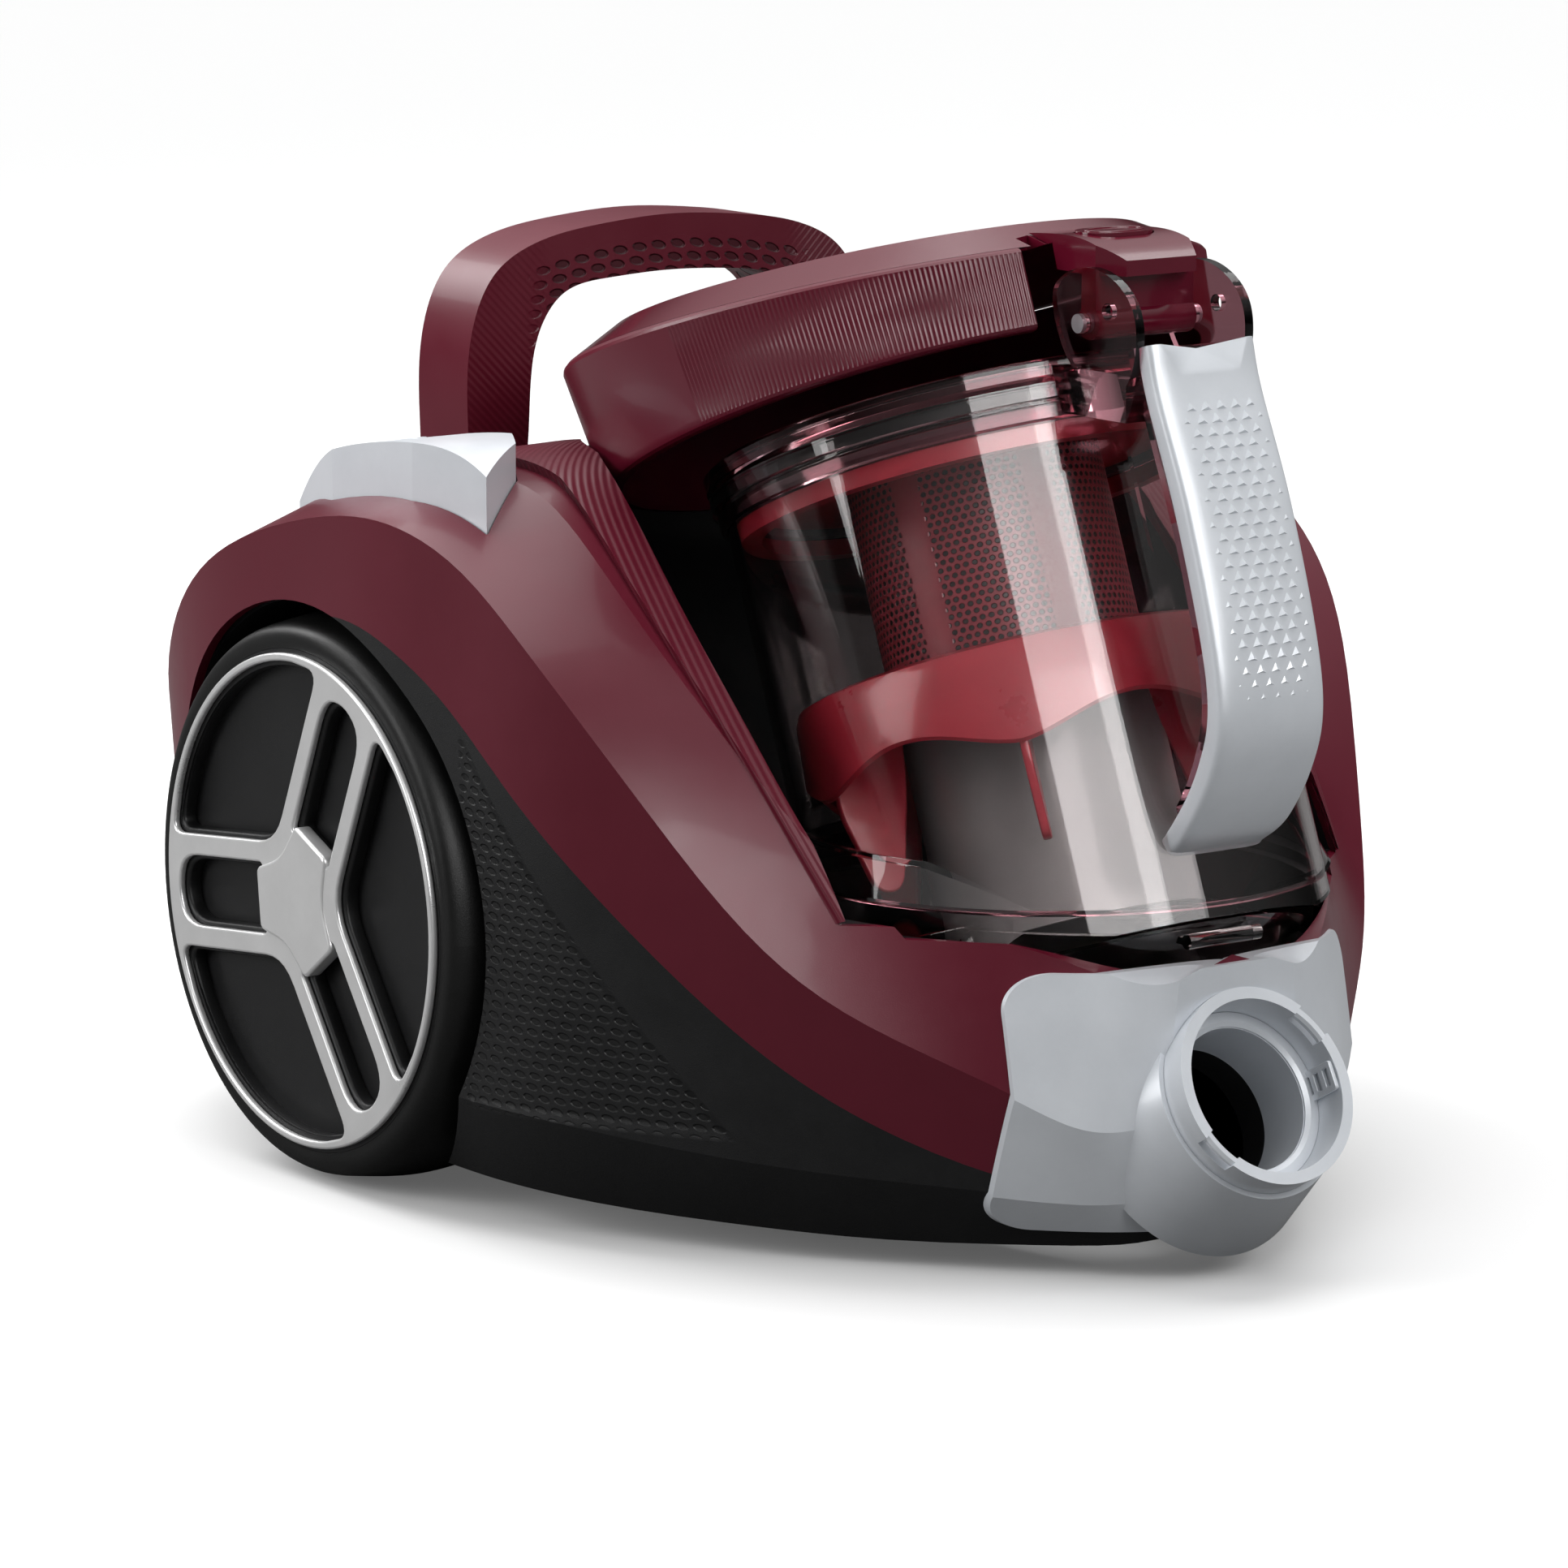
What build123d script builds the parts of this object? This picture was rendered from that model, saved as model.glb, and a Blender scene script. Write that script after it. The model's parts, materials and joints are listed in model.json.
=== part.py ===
"""Canister vacuum cleaner, bagless, with a tilted dust container between two large rear wheels.

Millimetres. +X is forwards, +Y is to the cleaner's left, +Z is up. The origin is on the floor, under the
middle of the cleaner. Every function returns one piece; the last section writes each piece to its own file.
"""
from build123d import *
import os
from math import cos, radians

# ---------------------------------------------------------------- driving dimensions
WALL = 3.0                                  # moulded housing wall
LINER = 2.2                                 # wall of the bay and wheel-well liners

WHEEL_R, WHEEL_X = 79.0, -57.0              # rear wheels
WHEEL_IN, WHEEL_OUT = 97.0, 145.0           # inner and outer face of each wheel, along Y
WELL_R, WELL_Y = WHEEL_R + 4.0, 94.0        # wheel well
AXLE_R = 6.0

TILT = 22.0                                 # the container's axis leans back by this
CUP_TOP = (55.0, 0.0, 211.0)                # centre of the cup's rim
CUP_R, CUP_LEN, CUP_WALL = 68.0, 150.0, 2.4
FOOT_X, FOOT_LOW, FOOT_MID, FOOT_HIGH = 93.0, 76.0, 99.0, 110.0     # level drum under the cup
FOOT_R = (66.0, 76.0, 70.0)                 # its radius at those three heights
BAY_A, BAY_B, BAY_BACK = 95.0, 87.0, -14.0  # oval bay in the body: half length, half width, offset
BAY_FLOOR, BAY_LEDGE, BAY_WELL_R = 73.0, 94.0, 75.5

LID_LOW = (32.0, 211.0, 97.0, 79.0, 22.0)   # lid's lower oval: x, z, half length, half width, tilt
LID_HIGH = (17.5, 239.5, 102.0, 82.0, 16.0)  # lid's upper oval

INLET = (187.0, 0.0, 54.0)                  # centre of the hose socket's mouth
INLET_PITCH, INLET_R, INLET_BORE_R, INLET_DEPTH = 29.0, 26.9, 19.6, 30.0
DUCT_REACH = 90.0                           # how far the socket's hole reaches into the body

PANEL_LOW, PANEL_HIGH, PANEL_HALF, PANEL_REAR, PANEL_CORNER = 14.0, 84.0, 57.0, 118.0, 11.0

HINGE, HINGE_PIN_R = (131.0, 0.0, 248.0), 2.5     # lid hinge pin
TIP, TIP_R, TIP_HALF = (168.0, 0.0, 90.0), 2.0, 12.0     # round lip on the cup's foot, on which it tips out
CASTOR_X, CASTOR_R, CASTOR_TRAIL, CASTOR_HALF = 84.0, 15.0, 6.0, 7.0
STEM_R, POCKET_R = 5.95, 26.5               # castor's upright pin, and the pocket it turns in
REEL = (-104.0, -46.0, 88.0)                # cord reel centre
MOTOR = (-104.0, 30.0, 88.0)                # motor centre

os.makedirs("parts", exist_ok=True)
PIECES = {}


# ---------------------------------------------------------------- small helpers
def cyl(radius, y0, y1, x, z):
    """Cylinder along Y from y0 to y1."""
    return Pos(x, (y0 + y1) / 2, z) * Rot(90, 0, 0) * Cylinder(radius, abs(y1 - y0))


def box(x0, x1, y0, y1, z0, z1):
    return Pos((x0 + x1) / 2, (y0 + y1) / 2, (z0 + z1) / 2) * Box(x1 - x0, abs(y1 - y0), z1 - z0)


def tilted(shape):
    """From the container's own frame (Z up its axis, origin at the cup's rim) to the cleaner's frame."""
    return Pos(*CUP_TOP) * Rot(0, -TILT, 0) * shape


def socket(shape):
    """From the hose socket's frame (Z out of its mouth) to the cleaner's frame."""
    return Pos(*INLET) * Rot(0, 90 - INLET_PITCH, 0) * shape


def tube(r_out, r_in, z0, z1):
    ring = Circle(r_out) - Circle(r_in)
    return Pos(0, 0, z0) * extrude(ring, z1 - z0)


def disc(radius, z0, z1):
    return Pos(0, 0, z0) * extrude(Circle(radius), z1 - z0)


def cone(r0, r1, z0, z1):
    return Pos(0, 0, (z0 + z1) / 2) * Cone(r0, r1, z1 - z0)


def slab_xz(points, half, closed_low=None):
    """Region under a smooth top line in XZ, or inside a closed smooth line, extruded to both sides of Y."""
    if closed_low is None:
        wire = Spline(*[(x, z) for x, z in points], periodic=True)
    else:
        top = Spline(*[(x, z) for x, z in points])
        ends = Polyline(points[-1], (points[-1][0], closed_low), (points[0][0], closed_low), points[0])
        wire = top + ends
    face = make_face(wire)
    return Rot(90, 0, 0) * extrude(face, half, both=True)


def keep(name, shape):
    """Files a piece under its name, without slivers."""
    least = max(s.volume for s in shape.solids()) / 50
    solids = [s for s in shape.solids() if s.volume > least]
    PIECES[name] = solids[0] if len(solids) == 1 else Compound(children=solids)


def both_sides(name, right):
    """The right-hand piece and its mirror image."""
    keep(name + "_right", right)
    keep(name + "_left", mirror(right, about=Plane.XZ))


# ---------------------------------------------------------------- body envelope
# Cross-sections of the body from rear to front. Each gives x, then the half-width and height of four corners:
# belly edge, lower side, side crease and shoulder, and last the height of the deck over the middle.
STATIONS = [
    (-197, (34, 52), (46, 58), (52, 76), (40, 90), 93),
    (-188, (60, 38), (82, 50), (88, 86), (68, 106), 112),
    (-168, (84, 27), (110, 44), (116, 112), (88, 131), 138),
    (-134, (108, 20), (129, 40), (134, 149), (102, 162), 165),
    (-100, (120, 17), (136, 40), (140, 171), (108, 182), 184),
    (-60, (126, 15), (139, 40), (141, 184), (110, 195), 198),
    (-30, (128, 14), (141, 38), (142, 189), (108, 199), 203),
    (0, (127, 13), (139, 37), (140.5, 187), (104, 197), 201),
    (30, (122, 12), (134, 36), (137, 173), (102, 180), 184),
    (52, (110, 10), (125, 34), (133, 155), (99, 161), 166),
    (78, (95, 9), (110, 31), (120, 123), (93, 137), 141),
    (106, (75, 8), (90, 28), (101, 87), (82, 109), 113),
    (130, (54, 8), (69, 26), (80, 67), (67, 95), 99),
    (153, (33, 9), (47, 24), (56, 52), (48, 89), 91),
    (172, (8, 20), (14, 26), (22, 45), (18, 80), 86),
]
SEAM = [(-210, 62), (-160, 74), (-136, 96), (-110, 140), (-60, 158), (-30, 160), (0, 150), (30, 128), (62, 98),
        (98, 62), (120, 44), (140, 32), (156, 26), (200, 22)]


def section(station, inset, shift):
    """One cross-section of the body, moved inwards by inset."""
    x, belly, low, crease, shoulder, deck = station
    half = [(0, belly[1] + inset), (belly[0] - inset / 2, belly[1] + inset), (low[0] - inset, low[1] + inset / 2),
            (crease[0] - inset, crease[1]), (shoulder[0] - inset / 2, shoulder[1] - inset), (0, deck - inset)]
    whole = half + [(-y, z) for y, z in reversed(half[1:-1])]
    return Plane.YZ.offset(x + shift) * make_face(Polyline(*whole, close=True))


def envelope(inset):
    """The body's outside, moved inwards by inset."""
    last = len(STATIONS) - 1
    ends = {0: inset, last: -inset}
    return loft([section(row, inset, ends.get(k, 0)) for k, row in enumerate(STATIONS)])


def below_seam():
    return slab_xz(SEAM, 200, closed_low=-60)


def oval(x, z, a, b, tilt, grow, height):
    """Oval of half-length a and half-width b in a plane that rises towards the front, height along its normal."""
    return Pos(x, 0, z) * Rot(0, -tilt, 0) * Pos(0, 0, height) * make_face(Ellipse(a + grow, b + grow).edge())


def lid_column(grow, low=0.0, high=0.0):
    """The lid's solid outline, grown sideways and moved at its lower and upper plane."""
    return loft([oval(*LID_LOW, grow, low), oval(*LID_HIGH, grow, high)])


def bay_space(grow):
    """The room that the container and lid need, grown by grow all round."""
    column = tilted(Pos(BAY_BACK, 0, -160) * extrude(Ellipse(BAY_A + grow, BAY_B + grow), 330))
    column = column & box(-200, 300, -200, 200, BAY_LEDGE - grow, 500)
    well = disc(BAY_WELL_R + grow, BAY_FLOOR - grow, 140) + disc(BAY_WELL_R + 4 + grow, 91 - grow, 140)
    return column + Pos(FOOT_X, 0, 0) * well


def wheel_well(side):
    """The room that one rear wheel needs; side is -1 on the right and 1 on the left."""
    return cyl(WELL_R, side * WELL_Y, side * 220, WHEEL_X, WHEEL_R)


def housing():
    """Upper shell and base tray, hollow, with the bay, wheel wells, castor pocket and openings cut."""
    skin = envelope(0) - envelope(WALL)
    skin = skin - bay_space(0) - wheel_well(-1) - wheel_well(1) - lid_column(1.5, low=-1.5)
    for side in (-1, 1):
        skin = skin - pedal_column(0.5, side)
    skin = skin - socket(disc(INLET_R + 0.2, -DUCT_REACH, 30)) - Pos(CASTOR_X, 0, 0) * Cylinder(POCKET_R + 0.2, 60)
    skin = skin - grille_space(0.2) - gland_space(0.2)
    keep("upper_shell", skin - below_seam())
    keep("base_tray", skin & below_seam())


def grille_space(gap):
    return box(-230, -168, -52 - gap, 52 + gap, 96 - gap, 126 + gap)


def gland_space(gap):
    return Pos(-185, -40, 66) * Rot(0, 90, 0) * Cylinder(5 + gap, 60)


# ---------------------------------------------------------------- rear wheels
SPOKES, SPOKE_W, SPOKE_GAP = 3, 6.0, 26.0
RING_R = 68.6


def wheel_frame(shape):
    """From a wheel's own frame (Z outwards, on the right-hand side) to the cleaner's frame."""
    return Pos(WHEEL_X, 0, WHEEL_R) * Rot(90, 0, 0) * shape


def tyre():
    """Solid rubber tyre with a rounded shoulder and a crowned tread."""
    profile = Polyline((RING_R + 1.2, WHEEL_OUT - 3.5), (RING_R + 1.2, WHEEL_IN + 2), (WHEEL_R - 5, WHEEL_IN + 2),
                       (WHEEL_R - 1.2, WHEEL_IN + 8))
    crown = Spline((WHEEL_R - 1.2, WHEEL_IN + 8), (WHEEL_R, WHEEL_IN + 22), (WHEEL_R - 1.6, WHEEL_OUT - 12),
                   (WHEEL_R - 4.5, WHEEL_OUT - 4), (RING_R + 1.2, WHEEL_OUT - 3.5))
    face = make_face(profile + crown)
    return wheel_frame(revolve(Plane.XZ * face, Axis.Z, 360))


def spoke_pair():
    """Two parallel bars of the bright trim, joined round the hub, pointing along +X."""
    bars = Rectangle(RING_R + 2, SPOKE_W, align=(Align.MIN, Align.CENTER))
    return Pos(0, SPOKE_GAP / 2) * bars + Pos(0, -SPOKE_GAP / 2) * bars


def wheel_trim():
    """Bright three-spoke trim ring pressed into the face of the wheel."""
    ring = Circle(RING_R) - Circle(RING_R - 2.2)
    arms = Sketch()
    for k in range(SPOKES):
        arms += Rot(0, 0, 120 * k + 66) * spoke_pair()
    inner = Circle(RING_R - 1) & arms
    hub_clear = Circle(SPOKE_GAP / 2 / cos(radians(30)) + 5)
    sector = Sketch()
    for k in range(SPOKES):
        slot = Rectangle(RING_R + 9, SPOKE_GAP - SPOKE_W, align=(Align.MIN, Align.CENTER))
        sector += Rot(0, 0, 120 * k + 66) * slot
    face = ring + (inner - sector - (hub_clear & sector))
    return wheel_frame(Pos(0, 0, WHEEL_OUT - 3.4) * extrude(face, 2.4))


def wheel_disc():
    """Black dished wheel body with the hub tube."""
    body = disc(RING_R + 1.1, WHEEL_IN + 2, WHEEL_OUT - 8) - disc(RING_R - 4, WHEEL_IN - 1, WHEEL_IN + 14)
    rim = tube(RING_R + 1.1, RING_R - 3.4, WHEEL_OUT - 8, WHEEL_OUT - 3.5)
    hub = disc(15, WHEEL_IN, WHEEL_OUT - 8)
    return wheel_frame(body + rim + hub - disc(AXLE_R + 0.05, WHEEL_IN - 1, WHEEL_OUT - 14))


def hub_cap():
    """Three-lobed bright cap over the axle end."""
    face = Circle(10)
    for k in range(SPOKES):
        lobe = Rectangle(19, 18, align=(Align.MIN, Align.CENTER))
        face += Rot(0, 0, 120 * k + 66) * lobe
    return wheel_frame(Pos(0, 0, WHEEL_OUT - 7.9) * extrude(face, 6.4))


def wheel_liner():
    """Moulded cup that closes the wheel well towards the inside of the body."""
    cup = cyl(WELL_R + 2.4, -134, -WELL_Y + 2.4, WHEEL_X, WHEEL_R)
    cup = cup - cyl(WELL_R, -150, -WELL_Y, WHEEL_X, WHEEL_R) - cyl(AXLE_R + 4, -150, -50, WHEEL_X, WHEEL_R)
    return (cup & envelope(WALL + 0.1)) - bay_space(LINER + 0.3)


def rear_wheels():
    both_sides("tyre", tyre())
    both_sides("wheel_disc", wheel_disc())
    both_sides("wheel_trim", wheel_trim())
    both_sides("hub_cap", hub_cap())
    both_sides("wheel_liner", wheel_liner())
    axle = cyl(AXLE_R, -(WHEEL_OUT - 16), -82, WHEEL_X, WHEEL_R)
    both_sides("stub_axle", axle)
    boss = cyl(AXLE_R + 3.9, -91.5, -78, WHEEL_X, WHEEL_R) - cyl(AXLE_R, -95, -82, WHEEL_X, WHEEL_R)
    both_sides("axle_boss", boss)


# ---------------------------------------------------------------- front castor
AXLE_HOLE_R = 2.5


def castor():
    """Swivelling castor: pocket, fork with its stem, wheel on a pin, and a spring clip over the stem."""
    plate, top = 33.5, 38.0
    wheel_x, ear, ear_y = CASTOR_X - CASTOR_TRAIL, 3.0, CASTOR_HALF + 1.0
    at_stem = Pos(CASTOR_X, 0, 0)
    ring = tube(POCKET_R, POCKET_R - 2.5, 10, top) + tube(POCKET_R, STEM_R + 0.05, top, top + 3)
    keep("castor_socket", at_stem * ring)
    fork = at_stem * (disc(STEM_R, plate + ear, top + 8) + disc(20, plate, top - 0.6))
    for y in (-ear_y - ear, ear_y):
        fork = fork + box(wheel_x - 7, wheel_x + 7, y, y + ear, 11, plate + 0.5)
    keep("castor_fork", fork - cyl(AXLE_HOLE_R, -20, 20, wheel_x, CASTOR_R))
    keep("castor_pin", cyl(AXLE_HOLE_R - 0.05, -12.5, 12.5, wheel_x, CASTOR_R))
    wheel = fillet(cyl(CASTOR_R, -CASTOR_HALF, CASTOR_HALF, wheel_x, CASTOR_R).edges().filter_by(GeomType.CIRCLE), 3)
    keep("castor_wheel", wheel - cyl(AXLE_HOLE_R, -20, 20, wheel_x, CASTOR_R))
    keep("castor_clip", at_stem * tube(8.5, STEM_R + 0.05, top + 3.1, top + 4.8))


# ---------------------------------------------------------------- hose socket and front panel
def front():
    """Bright panel round the nose, and the hose socket that stands out of it, tilted upwards."""
    tube_body = disc(INLET_R, -INLET_DEPTH, 0) - disc(INLET_R - 3.2, -12, 1)
    tube_body = tube_body - disc(INLET_BORE_R, -INLET_DEPTH - 1, 1)
    for angle in (35, 215):
        tube_body = tube_body - Rot(0, 0, angle) * box(-5, 5, INLET_R - 6, INLET_R + 3, -4, 2)
    keep("hose_socket", socket(tube_body))
    skin = envelope(-1.8) - envelope(0.0)
    plan = RectangleRounded(PANEL_HIGH - PANEL_LOW, 2 * PANEL_HALF, PANEL_CORNER)
    front_on = Pos(PANEL_REAR, 0, (PANEL_HIGH + PANEL_LOW) / 2) * Rot(0, 90, 0) * extrude(plan, 80)
    panel = skin & front_on
    flare = socket(cone(INLET_R + 9, INLET_R + 1.5, -34, -8)) - envelope(0.0)
    keep("front_panel", panel + flare - socket(disc(INLET_R + 0.05, -DUCT_REACH, 30)))
    duct = tube(INLET_R - 2, INLET_BORE_R, -INLET_DEPTH - 10, -INLET_DEPTH - 0.05)
    keep("suction_duct", socket(duct))


# ---------------------------------------------------------------- bay liner
def bay_liner():
    """Liner of the bay: walls and a level floor."""
    tub = (bay_space(LINER) - bay_space(0)) & envelope(WALL + 0.1)
    tub = tub - lid_column(1.5, low=-1.5)
    tub = tub - socket(disc(INLET_R + 0.4, -INLET_DEPTH - 14, 30))
    keep("bay_liner", tub)


# ---------------------------------------------------------------- carrying handle and side trims
def handle_hoop():
    """Carrying handle: a flat hoop across the cleaner."""
    outer = [(-69, 186), (-69.5, 214), (-67, 231), (-60, 244), (-46, 252), (-24, 256), (0, 257.5)]
    inner = [(-51, 186), (-48, 214), (-44, 229), (-37, 237), (-22, 240.5), (0, 241.5)]
    rim = Spline(*outer, *[(-y, z) for y, z in outer[-2::-1]])
    hole = Spline(*inner, *[(-y, z) for y, z in inner[-2::-1]])
    ends = [Line(outer[0], inner[0]), Line((-outer[0][0], outer[0][1]), (-inner[0][0], inner[0][1]))]
    face = make_face(rim + hole + ends[0] + ends[1])
    return Pos(-95, 0, 0) * Rot(0, 0, 90) * Rot(90, 0, 0) * extrude(face, 12.5, both=True)


TRIM_W, TRIM_PROUD = 18.0, 2.4               # widest part of the band, and how far it stands out


def side_trim():
    """Ribbed band from the foot of the handle forwards and down along the container bay."""
    skin = envelope(-TRIM_PROUD) - envelope(0)
    wide = Pos(BAY_BACK, 0, 40) * Ellipse(BAY_A + TRIM_W, BAY_B + TRIM_W)
    narrow = Pos(BAY_BACK, 0, -130) * Ellipse(BAY_A + 0.5, BAY_B + 0.5)
    ring = tilted(loft([narrow, wide])) & box(-20, 140, -130, -30, BAY_LEDGE, 240)
    strip = box(-112, 12, -95, -60, 150, 240)
    return (skin & (ring + strip - bay_space(0))) - lid_column(1.5, low=-1.5)


def upper_works():
    keep("carry_handle", handle_hoop() - envelope(0))
    both_sides("side_trim", side_trim() - handle_hoop())


# ---------------------------------------------------------------- pedal buttons
def pedal_column(gap, side):
    """Upright column with the pedal's outline, wider by gap all round."""
    outline = [(-110, -108), (-62, -97), (-20, -96), (-6, -104), (10, -124), (-20, -128), (-62, -127)]
    face = make_face(Polyline(*[(x, -side * y) for x, y in outline], close=True))
    if gap:
        face = offset(face, amount=gap)
    return Pos(0, 0, 140) * extrude(face, 100)


def pedals():
    """Two bright pedals that sink into the deck, one on each side."""
    top = slab_xz([(-114, 178), (-70, 200), (-30, 208), (-4, 208), (20, 194)], 200, closed_low=120)
    cap = (pedal_column(0, -1) & top) - envelope(WALL + 2) - bay_space(17.5)
    keep("power_pedal", cap)
    keep("rewind_pedal", mirror(cap, about=Plane.XZ))


# ---------------------------------------------------------------- inside the body
MOTOR_R, FAN_R, FAN_BLADES, SHAFT_R = 44.0, 38.0, 9, 3.0
REEL_R, REEL_HUB_R, SPINDLE_R = 58.0, 20.0, 5.0
SLATS, SLAT_STEP = 4, 6.5


def motor():
    """Can, stator, rotor with its shaft, fan and the rubber ring that holds the can."""
    x, y, z = MOTOR
    can = cyl(MOTOR_R, y - 22, y + 46, x, z) - cyl(MOTOR_R - 3, y - 19, y + 43, x, z)
    keep("motor_can", can - cyl(8, y - 30, y + 60, x, z))
    keep("motor_stator", cyl(MOTOR_R - 3.2, y - 2, y + 30, x, z) - cyl(26, y - 3, y + 31, x, z))
    keep("motor_rotor", cyl(25, y, y + 28, x, z) + cyl(SHAFT_R, y - 26, y + 52, x, z))
    fan = cyl(FAN_R, y - 16, y - 14, x, z) + cyl(6, y - 14, y - 5, x, z)
    shaft = Axis((x, 0, z), (0, 1, 0))
    for k in range(FAN_BLADES):
        blade = box(x + 4, x + FAN_R - 2, y - 14, y - 6, z - 0.8, z + 0.8)
        fan += blade.rotate(shaft, 360 / FAN_BLADES * k)
    keep("fan_impeller", fan - cyl(SHAFT_R, y - 30, y + 60, x, z))
    keep("motor_rubber", cyl(MOTOR_R + 4, y - 12, y - 2, x, z) - cyl(MOTOR_R, y - 13, y - 1, x, z))


def reel():
    """Empty cord reel between two flanges, on its spindle."""
    x, y, z = REEL
    drum = cyl(REEL_HUB_R, y - 20, y + 16, x, z)
    for flange in (y - 22, y + 14):
        drum += cyl(REEL_R, flange, flange + 2, x, z)
    keep("reel_drum", drum - cyl(SPINDLE_R + 0.05, y - 40, y + 40, x, z))
    keep("reel_spindle", cyl(SPINDLE_R, y - 30, y + 20, x, z))


def rear_fittings():
    """Circuit board, exhaust filter with its slatted grille, and the outlet for the cord."""
    keep("circuit_board", box(-150, -90, -30, 30, 32, 33.6))
    keep("exhaust_filter", box(-184, -164, -46, 46, 96, 124) & envelope(WALL + 2))
    slats = (envelope(-3.0) - envelope(WALL)) & grille_space(0)
    for k in range(SLATS):
        low = 99.5 + SLAT_STEP * k
        slats = slats - box(-230, -150, -47, 47, low, low + 4)
    keep("exhaust_grille", slats)
    bush = (envelope(-0.6) - envelope(WALL)) & gland_space(0)
    keep("cord_gland", bush - gland_space(-2))


# ---------------------------------------------------------------- dust container
def foot(grow, low, high):
    """Level drum that widens to its middle and narrows again."""
    mid = FOOT_MID
    lower = cone(FOOT_R[0] + grow, FOOT_R[1] + grow, low, mid)
    upper = cone(FOOT_R[1] + grow, FOOT_R[2] + grow, mid, high)
    return Pos(FOOT_X, 0, 0) * (lower + upper)


def container():
    """Clear cup with its foot, separator and seal. All move together when the container is lifted out."""
    above = box(-200, 300, -200, 200, BAY_LEDGE, 300)
    above = above + Pos(FOOT_X, 0, 0) * disc(BAY_WELL_R - 1, FOOT_LOW, BAY_LEDGE)
    outer = (tilted(disc(CUP_R, -CUP_LEN, 0)) & above) + foot(0, FOOT_LOW, FOOT_HIGH)
    room = tilted(disc(CUP_R - CUP_WALL, -CUP_LEN, 1)) & box(-200, 300, -200, 200, FOOT_LOW + CUP_WALL, 300)
    shell = outer - room - foot(-CUP_WALL, FOOT_LOW + CUP_WALL, FOOT_HIGH - CUP_WALL)
    rim = tilted(tube(CUP_R + 3, CUP_R - CUP_WALL, -9, -5))
    lug = cyl(TIP_R, -TIP_HALF, TIP_HALF, TIP[0], TIP[2]) + box(163, TIP[0], -TIP_HALF, TIP_HALF, 89, 91)
    keep("dust_cup", shell + rim + (lug - room))
    keep("cup_seal", tilted(tube(CUP_R - CUP_WALL - 0.6, CUP_R - 8, -9, -5)))
    keep("mesh_filter", tilted(tube(35, 33.5, -66, -12.1)))
    keep("separator_plate", tilted(disc(CUP_R - 8.4, -11.9, -8.6) - disc(24, -13, -8)))
    skirt = cone(63, 61, -90, -68) - cone(61, 59, -90.01, -70.5) - disc(35.1, -100, -60)
    for k in range(6):
        skirt += Rot(0, 0, 60 * k + 20) * box(41, 61.6, -1.2, 1.2, -118, -84)
    keep("separator_skirt", tilted(skirt))
    tube_low = tilted(tube(35, 32.5, -140, -68)) & box(-200, 300, -200, 200, FOOT_LOW + CUP_WALL + 0.3, 300)
    keep("centre_tube", tube_low)


def grip_profile(grow):
    """Side view of the grip: down in front of the cup and back to its foot."""
    front = [(158, 245), (162, 232), (174, 205), (185, 172), (188.5, 150), (184, 134), (174, 119), (165, 112)]
    back = [(160, 118), (170, 127), (177, 140), (180, 153), (177, 170), (166, 202), (154, 230), (150, 243)]
    if grow:
        back = [(x - grow, z - grow * 0.3) for x, z in back]
    return make_face(Spline(*front) + Line(front[-1], back[0]) + Spline(*back) + Line(back[-1], front[0]))


def hinge_ear(side):
    """Rounded clear ear that holds one end of the hinge pin."""
    rim = [(121, 258), (131, 262.5), (143, 261), (152, 254), (154, 245), (147, 231), (128, 236), (121, 246)]
    plate = Rot(90, 0, 0) * extrude(make_face(Spline(*rim, periodic=True)), 1.4, both=True)
    window = cyl(2.2, -5, 5, 142, 252)
    return Pos(0, side * 18.0, 0) * (plate - window - cyl(HINGE_PIN_R + 0.1, -5, 5, HINGE[0], HINGE[2]))


def grip():
    outer = Rot(90, 0, 0) * extrude(grip_profile(0), 17.5, both=True)
    outer = outer - foot(0.1, FOOT_LOW, FOOT_HIGH + 0.1) - tilted(disc(CUP_R + 3.1, -CUP_LEN - 10, 0))
    for side in (-1, 1):
        outer = outer - box(140, 156, side * 16.4, side * 20, 236, 250)
    keep("grip_cover", outer)
    spine = Rot(90, 0, 0) * extrude(grip_profile(5.0), 13.5, both=True)
    base = box(146, 168, -12, 12, 100, 119)
    bridge = box(118, 150, -19.4, 19.4, 224, 236)
    arm = (spine + base + bridge) - outer - foot(0.1, FOOT_LOW, FOOT_HIGH + 0.1)
    arm = arm - tilted(disc(CUP_R + 3.1, -CUP_LEN - 10, 0)) - lid_column(0.8, low=-0.8)
    lid_pin = Axis(HINGE, (0, 1, 0))
    for angle in (15, 30, 45):
        arm = arm - (lid_column(0.8, low=-0.8) - box(117, 200, -22, 22, 200, 259.5)).rotate(lid_pin, angle)
    pin_hole = cyl(HINGE_PIN_R + 0.1, -40, 40, HINGE[0], HINGE[2])
    keep("grip_spine", arm + hinge_ear(-1) + hinge_ear(1) - pin_hole)


# ---------------------------------------------------------------- lid
BUTTON_X, BUTTON_LOW, BUTTON_TALL, BUTTON_TRAVEL = 120.0, 265.0, 5.2, 2.0


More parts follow.
